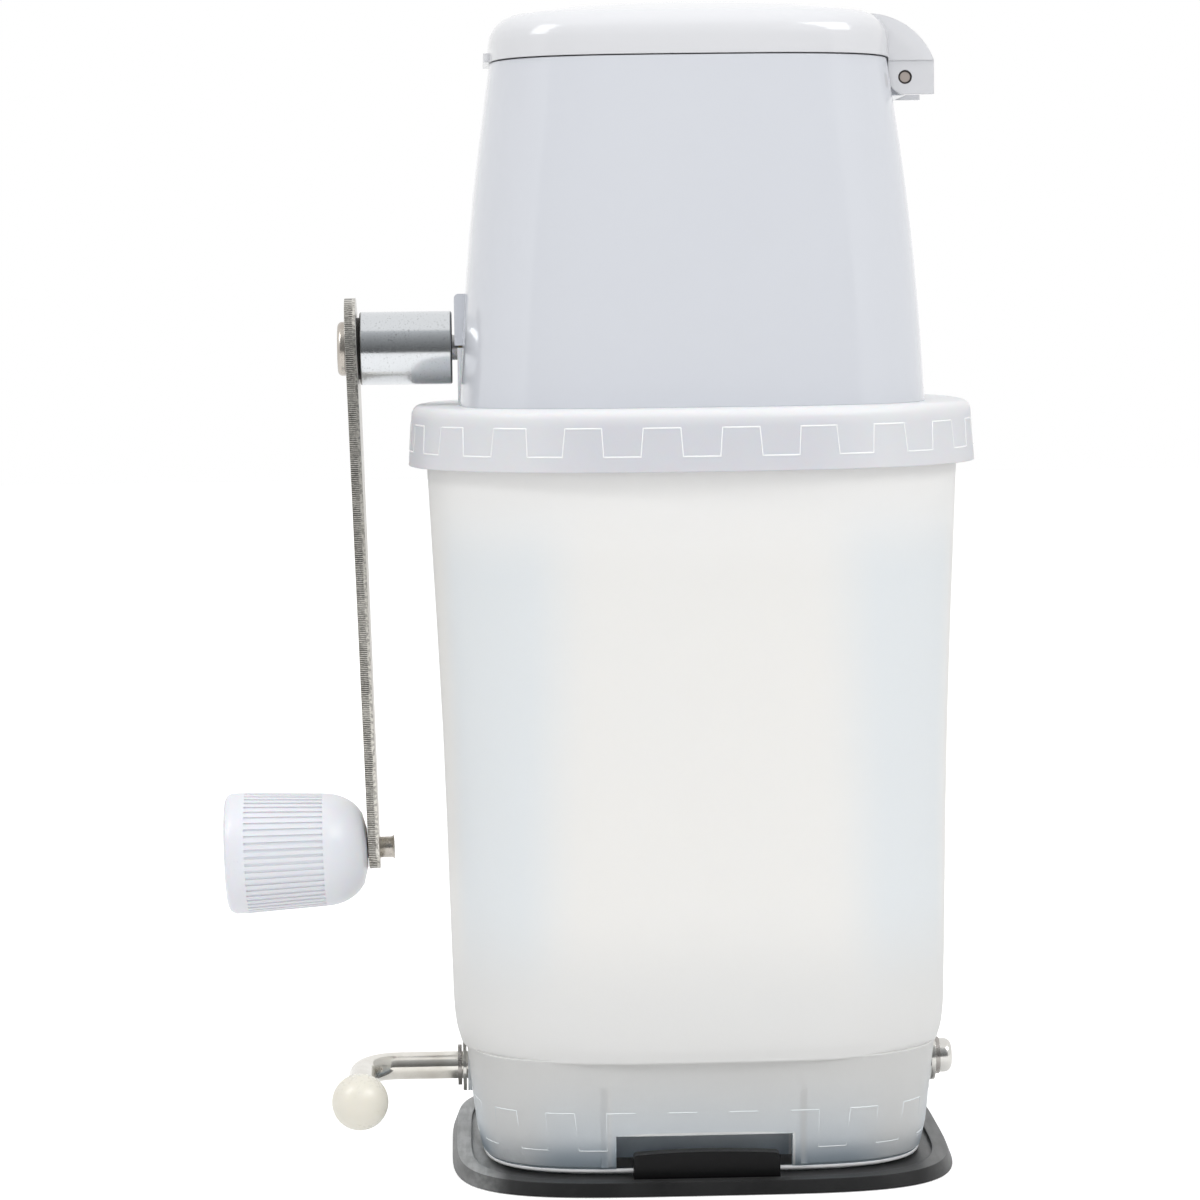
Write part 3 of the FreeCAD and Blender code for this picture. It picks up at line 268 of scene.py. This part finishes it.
# Painted light: the skirt's wall colour is paler, against the shade under the ledge.
thin_frosted = finish_of("thin frosted polypropylene", shell_skin,
                         {"Wall": (0.98, 0.975, 0.96, 1), "Corner": (0.90, 0.935, 0.955, 1),
                          "Foot": (0.77, 0.825, 0.87, 1)},
                         {"IOR": 1.2, "Transmission Weight": 0.38, "Specular IOR Level": 0.4},
                         bump=0.12)
container = welded("container", "container_shell", "base", frosted)

# The wall is parted on a clean line under the ledge, and the thin skirt below it lets more light through.
skirt_top = 0.0284
container.data.materials.append(thin_frosted)
parted = bmesh.new()
parted.from_mesh(container.data)
bmesh.ops.bisect_plane(parted, geom=parted.verts[:] + parted.edges[:] + parted.faces[:], dist=1e-7,
                       plane_co=(0, 0, skirt_top), plane_no=(0, 0, 1))
parted.to_mesh(container.data)
parted.free()
for face in container.data.polygons:
    if face.center.z < skirt_top:
        face.material_index = 1


# ------------------------------------------------------------------ suction pad
# Suction foot that holds the crusher to the table, compression moulded in black natural rubber with
# its lip, hub and pull tab. It is matt, with dust and a painted sheen on what faces up, most of all on
# the lobe at the left.

# Dusty rubber: dust and a painted sheen lie on what faces up, in patches that scuffs break up on the two side
# lobes.
rubber_skin, ports_in, ports_out = surface_group(
    "Dusty rubber",
    [("Colour", (0.03, 0.03, 0.03, 1)), ("Dust", (0.2, 0.2, 0.2, 1)), ("Dust Share", 0.3)])
place = object_place(rubber_skin)
facing = axes_of(add_node(rubber_skin, "ShaderNodeNewGeometry").outputs["Normal"])
upward = spread(facing[2], 0.0, 1.0)
side = axes_of(place)[0]
left_lobe = between(side, -0.044, -0.052, 0.0, 1.3)
right_lobe = between(side, 0.046, 0.053, 0.0, 0.3)
scuffs = noise(stretched(place, (1.0, 0.12, 1.0)), 700.0, 3.0)
patches = noise(place, 60.0, 5.0, 0.6)
pores = noise(place, 1800.0, 2.0)
worn = maths("MULTIPLY", maths("MAXIMUM", left_lobe, right_lobe), between(scuffs, 0.35, 0.65, 0.9, 1.3))
dust_and_sheen = maths("MULTIPLY", maths("MULTIPLY", upward, patches), maths("ADD", ports_in["Dust Share"], worn))
give(ports_out, mix_colour(dust_and_sheen, ports_in["Colour"], ports_in["Dust"]), spread(patches, 0.24, 0.42), pores)

pad_rubber = finish_of("black rubber", rubber_skin,
                       {"Colour": (0.006, 0.006, 0.0065, 1), "Dust": (0.46, 0.47, 0.47, 1),
                        "Dust Share": 0.13},
                       {"Specular IOR Level": 0.16}, bump=0.25, edge=0.0005)
welded("suction_pad", "rubber_pad", "base", pad_rubber)


# ------------------------------------------------------------------ stud and cam
# Nylon yoke whose spigot sits in the pad's hub, and the nylon cam fixed on the lever's shaft. Both are
# injection moulded and hidden under the floor.

nylon = finish_of("natural nylon", moulding,
                  {"Colour": (0.74, 0.73, 0.69, 1), "Cloud": (0.68, 0.67, 0.63, 1), "Gloss Low": 0.35,
                   "Gloss High": 0.5},
                  {"Subsurface Weight": 0.1, "Subsurface Scale": 0.002}, bump=0.2)
dress("suction_stud", nylon)
dress("suction_cam", nylon)


# ------------------------------------------------------------------ suction lever
# Bent steel rod, nickel plated, with a cream moulded ball pressed on its end. A spring clip and a
# washer hold it at the left, a screw with a flat and a split washer at the right.

# Worn plating: fine streaks along the drawn metal, with haze that dulls it in spots.
plating, ports_in, ports_out = surface_group(
    "Worn plating",
    [("Colour", (0.7, 0.7, 0.68, 1)), ("Dull", (0.45, 0.43, 0.4, 1)), ("Stretch", (1.0, 1.0, 1.0)),
     ("Streak Size", 300.0), ("Gloss Low", 0.12), ("Gloss High", 0.3)])
place = object_place(plating)
streaks = noise(stretched(place, ports_in["Stretch"]), ports_in["Streak Size"], 4.0, 0.6)
haze = noise(place, 90.0, 4.0, 0.6)
unevenness = maths("MULTIPLY_ADD", streaks, 0.6, maths("MULTIPLY", haze, 0.4))
give(ports_out, mix_colour(spread(haze, 0.0, 1.0, 0.45, 0.75), ports_in["Colour"], ports_in["Dull"]),
     spread(unevenness, ports_in["Gloss Low"], ports_in["Gloss High"], 0.3, 0.7), streaks)

rod_nickel = finish_of("nickel plated rod", plating,
                       {"Colour": (0.80, 0.78, 0.73, 1), "Dull": (0.66, 0.63, 0.57, 1),
                        "Stretch": (0.12, 1.0, 1.0), "Gloss Low": 0.08, "Gloss High": 0.2},
                       {"Metallic": 1.0}, bump=0.05)
washer_nickel = finish_of("nickel plated washers", plating,
                          {"Colour": (0.68, 0.67, 0.64, 1), "Dull": (0.5, 0.48, 0.44, 1), "Gloss Low": 0.12,
                           "Gloss High": 0.28},
                          {"Metallic": 1.0}, bump=0.08, edge=0.00015)
spring_steel = finish_of("spring steel", plating,
                         {"Colour": (0.42, 0.40, 0.38, 1), "Dull": (0.28, 0.26, 0.24, 1), "Gloss Low": 0.2,
                          "Gloss High": 0.36},
                         {"Metallic": 1.0}, bump=0.1)
cream = finish_of("cream plastic", moulding,
                  {"Colour": (0.80, 0.775, 0.69, 1), "Cloud": (0.765, 0.735, 0.65, 1), "Flow Size": 90.0,
                   "Gloss Low": 0.22, "Gloss High": 0.34},
                  {"Subsurface Weight": 0.25, "Subsurface Scale": 0.003,
                   "Subsurface Radius": (1.0, 0.9, 0.7)},
                  bump=0.1)
welded("lever_shaft", "lever_rod", "lever", rod_nickel)
welded("lever_ball", "lever_knob", "lever", cream, crease=50.0)
dress("lever_washer", washer_nickel)
dress("lever_end_washer", washer_nickel)
dress("lever_clip", spring_steel)
dress("lever_lock_washer", spring_steel)
welded("lever_end_screw", "end_screw", "lever", washer_nickel)


# ------------------------------------------------------------------ collar
# Flat cap over the container's rim, moulded in slightly milky polypropylene, with a meander line in
# low relief round its side. The same bead makes the line on the skirt and the rim along its foot.

# Painted light: the collar's corners and its top edge are paler than its front.
milky = finish_of("milky polypropylene", shell_skin,
                  {"Wall": (0.72, 0.73, 0.775, 1), "Corner": (0.80, 0.81, 0.84, 1),
                   "Brim": (0.93, 0.94, 0.96, 1), "Brim Low": 0.1695, "Brim High": 0.1735},
                  {"Transmission Weight": 0.18, "IOR": 1.36, "Subsurface Weight": 0.15,
                   "Subsurface Scale": 0.003},
                  bump=0.1, edge=0.0004)
welded("collar", "collar_cap", "head", milky)


def meander_tree():
    """Node tree that turns a ring curve into a square-wave bead that follows it."""
    tree = bpy.data.node_groups.new("Meander bead", "GeometryNodeTree")
    interface = tree.interface
    interface.new_socket(name="Geometry", in_out="INPUT", socket_type="NodeSocketGeometry")
    for label, kind, value in (
            ("Turns", "NodeSocketInt", 20), ("Low", "NodeSocketFloat", 0.0),
            ("High", "NodeSocketFloat", 0.006), ("Phase", "NodeSocketFloat", 0.0),
            ("Flare", "NodeSocketVector", (0.0, 0.0, 0.0)), ("Bead", "NodeSocketFloat", 0.0003),
            ("Corner Share", "NodeSocketFloat", 0.04), ("Finish", "NodeSocketMaterial", None)):
        socket = interface.new_socket(name=label, in_out="INPUT", socket_type=kind)
        if value is not None:
            socket.default_value = value
    interface.new_socket(name="Geometry", in_out="OUTPUT", socket_type="NodeSocketGeometry")
    given = tree.nodes.new("NodeGroupInput").outputs
    points_per_turn = 36.0
    ring = add_node(tree, "GeometryNodeResampleCurve", Curve=given["Geometry"],
                    Count=maths("MULTIPLY", given["Turns"], points_per_turn))
    along = add_node(tree, "GeometryNodeSplineParameter").outputs["Factor"]
    part = maths("FRACT", maths("MULTIPLY_ADD", along, given["Turns"], given["Phase"]))
    rise = spread(maths("GREATER_THAN", part, 0.5), given["Low"], given["High"])
    flared = add_node(tree, "ShaderNodeVectorMath", {"operation": "MULTIPLY_ADD"}, i0=rise, i1=given["Flare"],
                      i2=(1.0, 1.0, 1.0))
    moved = stretched(add_node(tree, "GeometryNodeInputPosition").outputs[0], flared.outputs[0])
    lift = add_node(tree, "ShaderNodeCombineXYZ", i2=rise)
    path = add_node(tree, "GeometryNodeSetPosition", Geometry=ring.outputs[0], Position=moved,
                    Offset=lift.outputs[0])
    section = add_node(tree, "GeometryNodeCurvePrimitiveCircle", Resolution=8, Radius=given["Bead"])
    to_corner = maths("PINGPONG", part, 0.25)
    bead = add_node(tree, "GeometryNodeCurveToMesh", i0=path.outputs[0], i1=section.outputs[0],
                    Scale=between(to_corner, 0.03, 0.07, given["Corner Share"], 1.0))
    smooth = add_node(tree, "GeometryNodeSetShadeSmooth", Geometry=bead.outputs[0])
    real = add_node(tree, "GeometryNodeRealizeInstances", Geometry=smooth.outputs[0])
    coated = add_node(tree, "GeometryNodeSetMaterial", Geometry=real.outputs[0], Material=given["Finish"])
    tree.links.new(coated.outputs[0], tree.nodes.new("NodeGroupOutput").inputs[0])
    return tree


def ring_curve(name, half_width, half_depth, squareness, z, points=288):
    """Closed curve of a rounded square, from the middle of its front and round to the right."""
    data = bpy.data.curves.new(name, "CURVE")
    data.dimensions = "3D"
    spline = data.splines.new("POLY")
    spline.points.add(points - 1)
    for index in range(points):
        angle = 2 * math.pi * index / points - math.pi / 2
        across, along = abs(math.cos(angle) / half_width), abs(math.sin(angle) / half_depth)
        reach = (across ** squareness + along ** squareness) ** (-1 / squareness)
        spline.points[index].co = (reach * math.cos(angle), reach * math.sin(angle), z, 1)
    spline.use_cyclic_u = True
    ring = bpy.data.objects.new(name, data)
    bpy.context.collection.objects.link(ring)
    return ring


def made_by(tree, start, name, values):
    """Plain mesh object of what a node tree makes of a starting object."""
    modifier = start.modifiers.new("made", "NODES")
    modifier.node_group = tree
    for item in tree.interface.items_tree:
        if item.item_type == "SOCKET" and item.in_out == "INPUT" and item.name in values:
            modifier[item.identifier] = values[item.name]
    start.update_tag()
    shown = start.evaluated_get(bpy.context.evaluated_depsgraph_get())
    mesh = bpy.data.meshes.new_from_object(shown)
    start.modifiers.clear()
    bpy.data.objects.remove(start)
    mesh.name = name
    piece = bpy.data.objects.new(name, mesh)
    bpy.context.collection.objects.link(piece)
    return piece


pale_bead = finish_of("raised line polypropylene", moulding,
                      {"Colour": (0.97, 0.975, 0.98, 1), "Cloud": (0.94, 0.95, 0.96, 1), "Flow Size": 300.0,
                       "Gloss Low": 0.12, "Gloss High": 0.22},
                      {"Specular IOR Level": 0.5}, bump=0.05)
# Painted shade: the skirt's line is greyer than the collar's, to match the pad's shade painted into the
# skirt.
grey_bead = finish_of("thin raised line polypropylene", moulding,
                      {"Colour": (0.86, 0.89, 0.91, 1), "Cloud": (0.78, 0.82, 0.85, 1), "Flow Size": 300.0,
                       "Gloss Low": 0.2, "Gloss High": 0.3},
                      {"Specular IOR Level": 0.4}, bump=0.05)
meander = meander_tree()

# The collar's line leans in with its side.
collar_ring = ring_curve("collar_ring", half_width=0.06468, half_depth=0.05688, squareness=2.5, z=0.1634)
collar_relief = made_by(meander, collar_ring, "collar_relief",
                        {"Turns": 23, "Low": 0.0, "High": 0.0062, "Phase": 0.28, "Bead": 0.0002,
                         "Flare": (-1.072, -1.248, 0.0), "Finish": pale_bead})
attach(collar_relief, "head")

# The skirt's line flares out with its side and stops at the window.
skirt_ring = ring_curve("skirt_ring", half_width=0.05154, half_depth=0.04334, squareness=4.2, z=0.0078)
skirt_relief = made_by(meander, skirt_ring, "skirt_relief",
                       {"Turns": 25, "Low": 0.0, "High": 0.0087, "Phase": 0.19, "Bead": 0.00015,
                        "Flare": (2.431, 2.891, 0.0), "Finish": grey_bead})
gap_left, gap_right, gap_top = -0.0222, 0.0203, 0.0125
opened = bmesh.new()
opened.from_mesh(skirt_relief.data)
at_window = [spot for spot in opened.verts
             if spot.co.y < 0 and gap_left < spot.co.x < gap_right and spot.co.z < gap_top]
bmesh.ops.delete(opened, geom=at_window, context="VERTS")
bmesh.ops.holes_fill(opened, edges=[edge for edge in opened.edges if edge.is_boundary], sides=12)
opened.to_mesh(skirt_relief.data)
opened.free()
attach(skirt_relief, "base")

# A plain bead with no steps runs round the skirt's foot.
foot_ring = ring_curve("foot_ring", half_width=0.0500, half_depth=0.0418, squareness=4.2, z=0.0030)
foot_rim = made_by(meander, foot_ring, "foot_rim",
                   {"Turns": 25, "Low": 0.0, "High": 0.0, "Phase": 0.0, "Bead": 0.0005, "Corner Share": 1.0,
                    "Flare": (0.0, 0.0, 0.0), "Finish": pale_bead})
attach(foot_rim, "base")


# ------------------------------------------------------------------ hopper
# Upper housing in glossy white ABS, moulded with its bearing halves and the barrel of the hinge, and
# screwed to the collar from below.

white_abs = finish_of("white ABS", moulding,
                      {"Colour": (0.662, 0.682, 0.726, 1), "Cloud": (0.648, 0.668, 0.716, 1),
                       "Flow Size": 22.0, "Gloss Low": 0.07, "Gloss High": 0.12, "Peel": 0.5},
                      {"Specular IOR Level": 0.5}, bump=0.06, edge=0.00035)
welded("hopper", "hopper_shell", "head", white_abs)


# ------------------------------------------------------------------ hidden screws and grate
# Zinc plated self-tapping screws: four hold the hopper on the collar from below, and four hold the
# grate under the blades. The grate is a slotted plate of brushed stainless steel.

zinc = finish_of("zinc plating", plating,
                 {"Colour": (0.62, 0.62, 0.63, 1), "Dull": (0.45, 0.46, 0.47, 1), "Gloss Low": 0.25,
                  "Gloss High": 0.42},
                 {"Metallic": 1.0}, bump=0.1)
stainless = finish_of("brushed stainless steel", plating,
                      {"Colour": (0.63, 0.63, 0.63, 1), "Dull": (0.5, 0.5, 0.5, 1),
                       "Stretch": (1.0, 0.05, 1.0), "Streak Size": 900.0, "Gloss Low": 0.22,
                       "Gloss High": 0.4},
                      {"Metallic": 1.0}, bump=0.15)
dress("hopper_screws", zinc)
dress("grate_screws", zinc)
dress("breaker_grate", stainless)


# ------------------------------------------------------------------ rotor
# Square stainless core with five stars of hooked teeth and plain tubes between them, turning in two
# turned brass bushes.

brass = finish_of("turned brass", plating,
                  {"Colour": (0.72, 0.55, 0.27, 1), "Dull": (0.5, 0.36, 0.18, 1), "Gloss Low": 0.2,
                   "Gloss High": 0.38},
                  {"Metallic": 1.0}, bump=0.1)
for node in ["rotor_shaft", "rotor_spacers"] + ["blade_%d" % number for number in range(1, 6)]:
    dress(node, stainless)
dress("crank_side_bush", brass)
dress("far_side_bush", brass)


# ------------------------------------------------------------------ crank
# Turned aluminium sleeve on the rotor's end, and a nickel plated flat bar whose sheared edges keep
# the fine steps of the tool. A button rivet closes the sleeve's tenon over the bar, and a thin black
# wedge ring fills the gap between the sleeve's square end and the leaning bar.

# Turned metal: fine rings of the tool, small pits, and painted shade that darkens both ends of the sleeve.
turned_skin, ports_in, ports_out = surface_group(
    "Turned metal",
    [("Colour", (0.8, 0.8, 0.82, 1)), ("Pit", (0.3, 0.3, 0.3, 1)), ("End", (0.03, 0.03, 0.03, 1)),
     ("Left", 0.0), ("Right", 0.0), ("End Width", 0.0005)])
place = object_place(turned_skin)
station = axes_of(place)[0]
tooling = noise(stretched(place, (1.0, 0.06, 0.06)), 2600.0, 2.0)
pits = noise(place, 2400.0, 1.0)
tint = mix_colour(between(pits, 0.62, 0.72, 0.0, 0.5), ports_in["Colour"], ports_in["Pit"])
painted_end_shade = maths("MAXIMUM", band(station, ports_in["Left"], ports_in["End Width"]),
                 band(station, ports_in["Right"], ports_in["End Width"]))
give(ports_out, mix_colour(painted_end_shade, tint, ports_in["End"]), spread(tooling, 0.10, 0.24),
     maths("MULTIPLY_ADD", pits, -0.4, tooling))

aluminium = finish_of("turned aluminium", turned_skin,
                      {"Colour": (0.68, 0.70, 0.72, 1), "Pit": (0.38, 0.39, 0.40, 1), "Left": -0.0757,
                       "Right": -0.0547},
                      {"Metallic": 1.0}, bump=0.12)

# Sheared bar: fine steps cross its cut edges from the outer face and stop short of the back one. The
# bar leans outward as it rises, and so do they.
bar_lean, bar_middle = 0.02618, 0.07271
sheared, ports_in, ports_out = surface_group(
    "Sheared bar",
    [("Colour", (0.7, 0.7, 0.68, 1)), ("Groove", (0.3, 0.28, 0.25, 1)), ("Pitch", 0.00044)])
place = object_place(sheared)
axes = axes_of(place)
facing = axes_of(add_node(sheared, "ShaderNodeNewGeometry").outputs["Normal"])
edge_face = maths("LESS_THAN", maths("ABSOLUTE", facing[0]), 0.5)
wobble = noise(place, 420.0, 2.0)
haze = noise(place, 160.0, 4.0, 0.6)
flecks = noise(place, 1500.0, 2.0)
count = maths("DIVIDE", maths("MULTIPLY_ADD", wobble, 0.00035, axes[2]), ports_in["Pitch"])
steps = between(maths("PINGPONG", count, 0.5), 0.1, 0.4)
inward = maths("ADD", axes[0], maths("MULTIPLY_ADD", axes[2], bar_lean, bar_middle))
torn = between(maths("MULTIPLY_ADD", wobble, 0.0006, inward), 0.0010, 0.0007)
cut = maths("MULTIPLY", maths("MULTIPLY", steps, torn), edge_face)
shade = maths("MULTIPLY", edge_face, between(flecks, 0.42, 0.62, 0.0, 0.45))
# Painted shade: the grooves between the steps take the dark groove colour, and flecks darken the cut edges.
depth = maths("MAXIMUM", shade, maths("MULTIPLY", cut, between(haze, 0.3, 0.6, 0.6, 1.0)))
give(ports_out, mix_colour(depth, ports_in["Colour"], ports_in["Groove"]), spread(haze, 0.22, 0.40), cut)

bar_nickel = finish_of("nickel plated bar", sheared,
                       {"Colour": (0.68, 0.66, 0.61, 1), "Groove": (0.02, 0.017, 0.015, 1)},
                       {"Metallic": 1.0}, bump=0.5, bump_depth=0.00006)
rivet_steel = finish_of("bare rivet steel", plating,
                        {"Colour": (0.52, 0.485, 0.44, 1), "Dull": (0.41, 0.35, 0.30, 1), "Gloss Low": 0.2,
                         "Gloss High": 0.36},
                        {"Metallic": 1.0}, bump=0.15)
welded("hub_sleeve", "crank_sleeve", "rotor", aluminium, rounding=0.0004)
welded("crank_arm", "crank_bar", "rotor", bar_nickel, rounding=0.00045)

black_ring_finish = finish_of("black ring finish", plating,
                      {"Colour": (0.03, 0.028, 0.026, 1), "Dull": (0.015, 0.014, 0.013, 1), "Gloss Low": 0.4,
                       "Gloss High": 0.55},
                      {"Metallic": 0.3}, bump=0.1)
# Wedge ring: a thin black ring with one end square to the sleeve and the other following the bar.
rotor_height, outer_radius, inner_radius, sides = 0.1867, 0.0071, 0.0053, 64
sleeve_end, bar_back = -0.07585, -0.07628
wedge = bmesh.new()
rings = []
for radius, on_bar in ((outer_radius, False), (outer_radius, True),
                       (inner_radius, True), (inner_radius, False)):
    ring = []
    for step in range(sides):
        angle = 2 * math.pi * step / sides
        y, up = radius * math.cos(angle), radius * math.sin(angle)
        x = bar_back - bar_lean * up if on_bar else sleeve_end
        ring.append(wedge.verts.new((x, y, rotor_height + up)))
    rings.append(ring)
for ring, after in zip(rings, rings[1:] + rings[:1]):
    for step in range(sides):
        wedge.faces.new((ring[step], ring[step - 1], after[step - 1], after[step]))
bmesh.ops.recalc_face_normals(wedge, faces=wedge.faces)
ring_mesh = bpy.data.meshes.new("wedge_ring")
wedge.to_mesh(ring_mesh)
wedge.free()
ring_mesh.materials.append(black_ring_finish)
wedge_ring = bpy.data.objects.new("wedge_ring", ring_mesh)
bpy.context.collection.objects.link(wedge_ring)
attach(wedge_ring, "rotor")
welded("crank_rivet", "crank_rivet_head", "rotor", rivet_steel)


# ------------------------------------------------------------------ knob
# White ABS grip, injection moulded in one piece with ribs along it. It turns on a tubular steel rivet
# that is flared behind the bar.

grip_abs = finish_of("white ABS grip", moulding,
                     {"Colour": (0.785, 0.80, 0.845, 1), "Cloud": (0.77, 0.785, 0.835, 1), "Flow Size": 60.0,
                      "Gloss Low": 0.24, "Gloss High": 0.34, "Peel": 0.4},
                     {"Specular IOR Level": 0.5, "Subsurface Weight": 0.25, "Subsurface Scale": 0.0015},
                     bump=0.1, edge=0.00015)
welded("knob", "crank_grip", "knob", grip_abs)
welded("knob_pin", "grip_rivet", "rotor", rivet_steel)


# ------------------------------------------------------------------ lid
# Crowned white ABS lid, moulded with two ears and a hood that covers its hinge, and the cropped steel
# pin through both ears and the hopper's barrel.

lid_abs = finish_of("white ABS lid", moulding,
                    {"Colour": (0.715, 0.722, 0.743, 1), "Cloud": (0.70, 0.707, 0.733, 1), "Flow Size": 22.0,
                     "Gloss Low": 0.07, "Gloss High": 0.12, "Peel": 0.5},
                    {"Specular IOR Level": 0.5}, bump=0.06, edge=0.00035)
welded("lid", "lid_shell", "lid", lid_abs)

# Cropped pin: grey ends with painted shade, a dark ring where they meet the ear.
hinge_axis = (0.04875, 0.0, 0.24655)
pin_skin, ports_in, ports_out = surface_group(
    "Cropped pin",
    [("Colour", (0.4, 0.35, 0.32, 1)), ("Ring", (0.03, 0.025, 0.025, 1)), ("Axis", hinge_axis),
     ("Radius", 0.0013)])
place = object_place(pin_skin)
from_axis = add_node(pin_skin, "ShaderNodeVectorMath", {"operation": "SUBTRACT"}, i0=place,
                     i1=ports_in["Axis"])
flattened = stretched(from_axis.outputs[0], (1.0, 0.0, 1.0))
distance = add_node(pin_skin, "ShaderNodeVectorMath", {"operation": "LENGTH"}, i0=flattened).outputs["Value"]
grit = noise(place, 2500.0, 2.0)
outer = between(maths("SUBTRACT", distance, ports_in["Radius"]), -0.0003, 0.0)
give(ports_out, mix_colour(outer, ports_in["Colour"], ports_in["Ring"]), spread(grit, 0.3, 0.5), grit)

cropped_steel = finish_of("cropped steel", pin_skin, {"Colour": (0.50, 0.44, 0.40, 1)},
                          {"Metallic": 0.5}, bump=0.2)
welded("hinge_pin", "hinge_rod", "head", cropped_steel)


# ------------------------------------------------------------------ studio
# Pale floor under a white surround, with soft lamps at both sides, above and in front. Two bright cards
# and a dark one, which only reflections see, give the white plastic its glare and the metal its depth.

def paint(name, colour, glow, roughness=0.9):
    """Plain material of the studio, with its shader."""
    material = bpy.data.materials.new(name)
    material.use_nodes = True
    shader = material.node_tree.nodes["Principled BSDF"]
    for label, value in (("Base Color", colour), ("Roughness", roughness), ("Emission Color", glow)):
        shader.inputs[label].default_value = value
    return material, shader


def stage_plane(name, size, spot, material, turn=(0, 0, 0)):
    """Flat card of the studio, not part of the object."""
    bpy.ops.mesh.primitive_plane_add(size=1, location=spot, rotation=turn)
    card = bpy.context.object
    card.name = name
    card.scale = (size[0], size[1], 1)
    card.data.materials.append(material)
    return card


def only_mirrored(card):
    """Hide a card from all but reflections."""
    card.visible_camera = card.visible_diffuse = card.visible_shadow = card.visible_transmission = False


def soft_lamp(name, spot, size, power, aim=(0, 0, 0.13)):
    """Rectangular soft box that faces the part's middle and isn't mirrored in it."""
    light = bpy.data.lights.new(name, "AREA")
    light.shape = "RECTANGLE"
    light.size, light.size_y = size
    light.energy = power
    lamp = bpy.data.objects.new(name, light)
    lamp.location = spot
    lamp.rotation_euler = (Vector(aim) - Vector(spot)).to_track_quat("-Z", "Y").to_euler()
    lamp.visible_glossy = False
    bpy.context.collection.objects.link(lamp)


floor_paint, floor_shader = paint("studio floor", (0.9, 0.9, 0.9, 1), (0.55, 0.55, 0.55, 1))
rays = add_node(floor_paint.node_tree, "ShaderNodeLightPath").outputs
floor_paint.node_tree.links.new(maths("MULTIPLY_ADD", rays["Is Glossy Ray"], 0.36, rays["Is Camera Ray"]),
                                floor_shader.inputs["Emission Strength"])
stage_plane("floor", (6, 6), (0, 0, -0.0002), floor_paint)

# White where it is seen, mirrored or looked through to, and weaker as a light.
world = bpy.data.worlds.new("studio")
world.use_nodes = True
bpy.context.scene.world = world
sky = world.node_tree
backdrop = sky.nodes["Background"]
backdrop.inputs["Color"].default_value = (1, 1, 1, 1)
rays = add_node(sky, "ShaderNodeLightPath").outputs
direct = maths("MAXIMUM", maths("MAXIMUM", rays["Is Camera Ray"], rays["Is Glossy Ray"]),
               rays["Is Transmission Ray"])
sky.links.new(spread(direct, 0.62, 1.0), backdrop.inputs["Strength"])

soft_lamp("left box", (-0.84, -0.59, 0.93), (0.27, 0.27), 2.2)
soft_lamp("right box", (0.74, -0.74, 0.8), (0.6, 0.42), 2.8)
soft_lamp("top box", (0.0, -0.1, 1.3), (1.2, 0.9), 6.2)
soft_lamp("front box", (-0.15, -1.7, 0.3), (1.6, 0.7), 1.9)

glare_paint, glare_shader = paint("glare card", (0, 0, 0, 1), (1, 1, 1, 1), roughness=0.5)
glare_shader.inputs["Emission Strength"].default_value = 6.0
lid_centre = Vector((0, 0, 0.26))
for name, spot, size in (("right glare", (0.72, -0.65, 0.99), (1.15, 0.5)),
                         ("left glare", (-0.889, -0.359, 0.982), (0.4, 0.6))):
    toward = (Vector(spot) - lid_centre).to_track_quat("Z", "Y").to_euler()
    only_mirrored(stage_plane(name, size, spot, glare_paint, toward))

dark_paint, dark_shader = paint("dark card", (0.02, 0.02, 0.02, 1), (0.95, 0.98, 1.0, 1))
up_card = axes_of(object_place(dark_paint.node_tree))[1]
dark_paint.node_tree.links.new(spread(up_card, 0.06, 0.6, -0.5, 0.5), dark_shader.inputs["Emission Strength"])
only_mirrored(stage_plane("front card", (1.8, 1.3), (-0.05, -0.72, 0.665), dark_paint,
                          (math.radians(90), 0, 0)))


# ------------------------------------------------------------------ camera
# Long lens at table height, a little above the crank and turned slightly to the right, so that
# upright edges stay nearly parallel.

lens_data = bpy.data.cameras.new("camera")
lens_data.sensor_width, lens_data.lens = 36.0, 111.456
lens_data.clip_start, lens_data.clip_end = 0.05, 20.0
camera = bpy.data.objects.new("camera", lens_data)
stand = (-0.05132, -0.85892, 0.20095)
pan, tilt, roll = 0.035, 0.085, -0.013
ahead = Vector((math.sin(pan) * math.cos(tilt), math.cos(pan) * math.cos(tilt), -math.sin(tilt)))
level_right = Vector((math.cos(pan), -math.sin(pan), 0))
level_up = level_right.cross(ahead)
right = math.cos(roll) * level_right + math.sin(roll) * level_up
above = math.cos(roll) * level_up - math.sin(roll) * level_right
turned = Matrix((right, above, -ahead)).transposed().to_4x4()
camera.matrix_world = Matrix.Translation(stand) @ turned
bpy.context.collection.objects.link(camera)
bpy.context.scene.camera = camera
bpy.context.scene.view_settings.view_transform = "Standard"
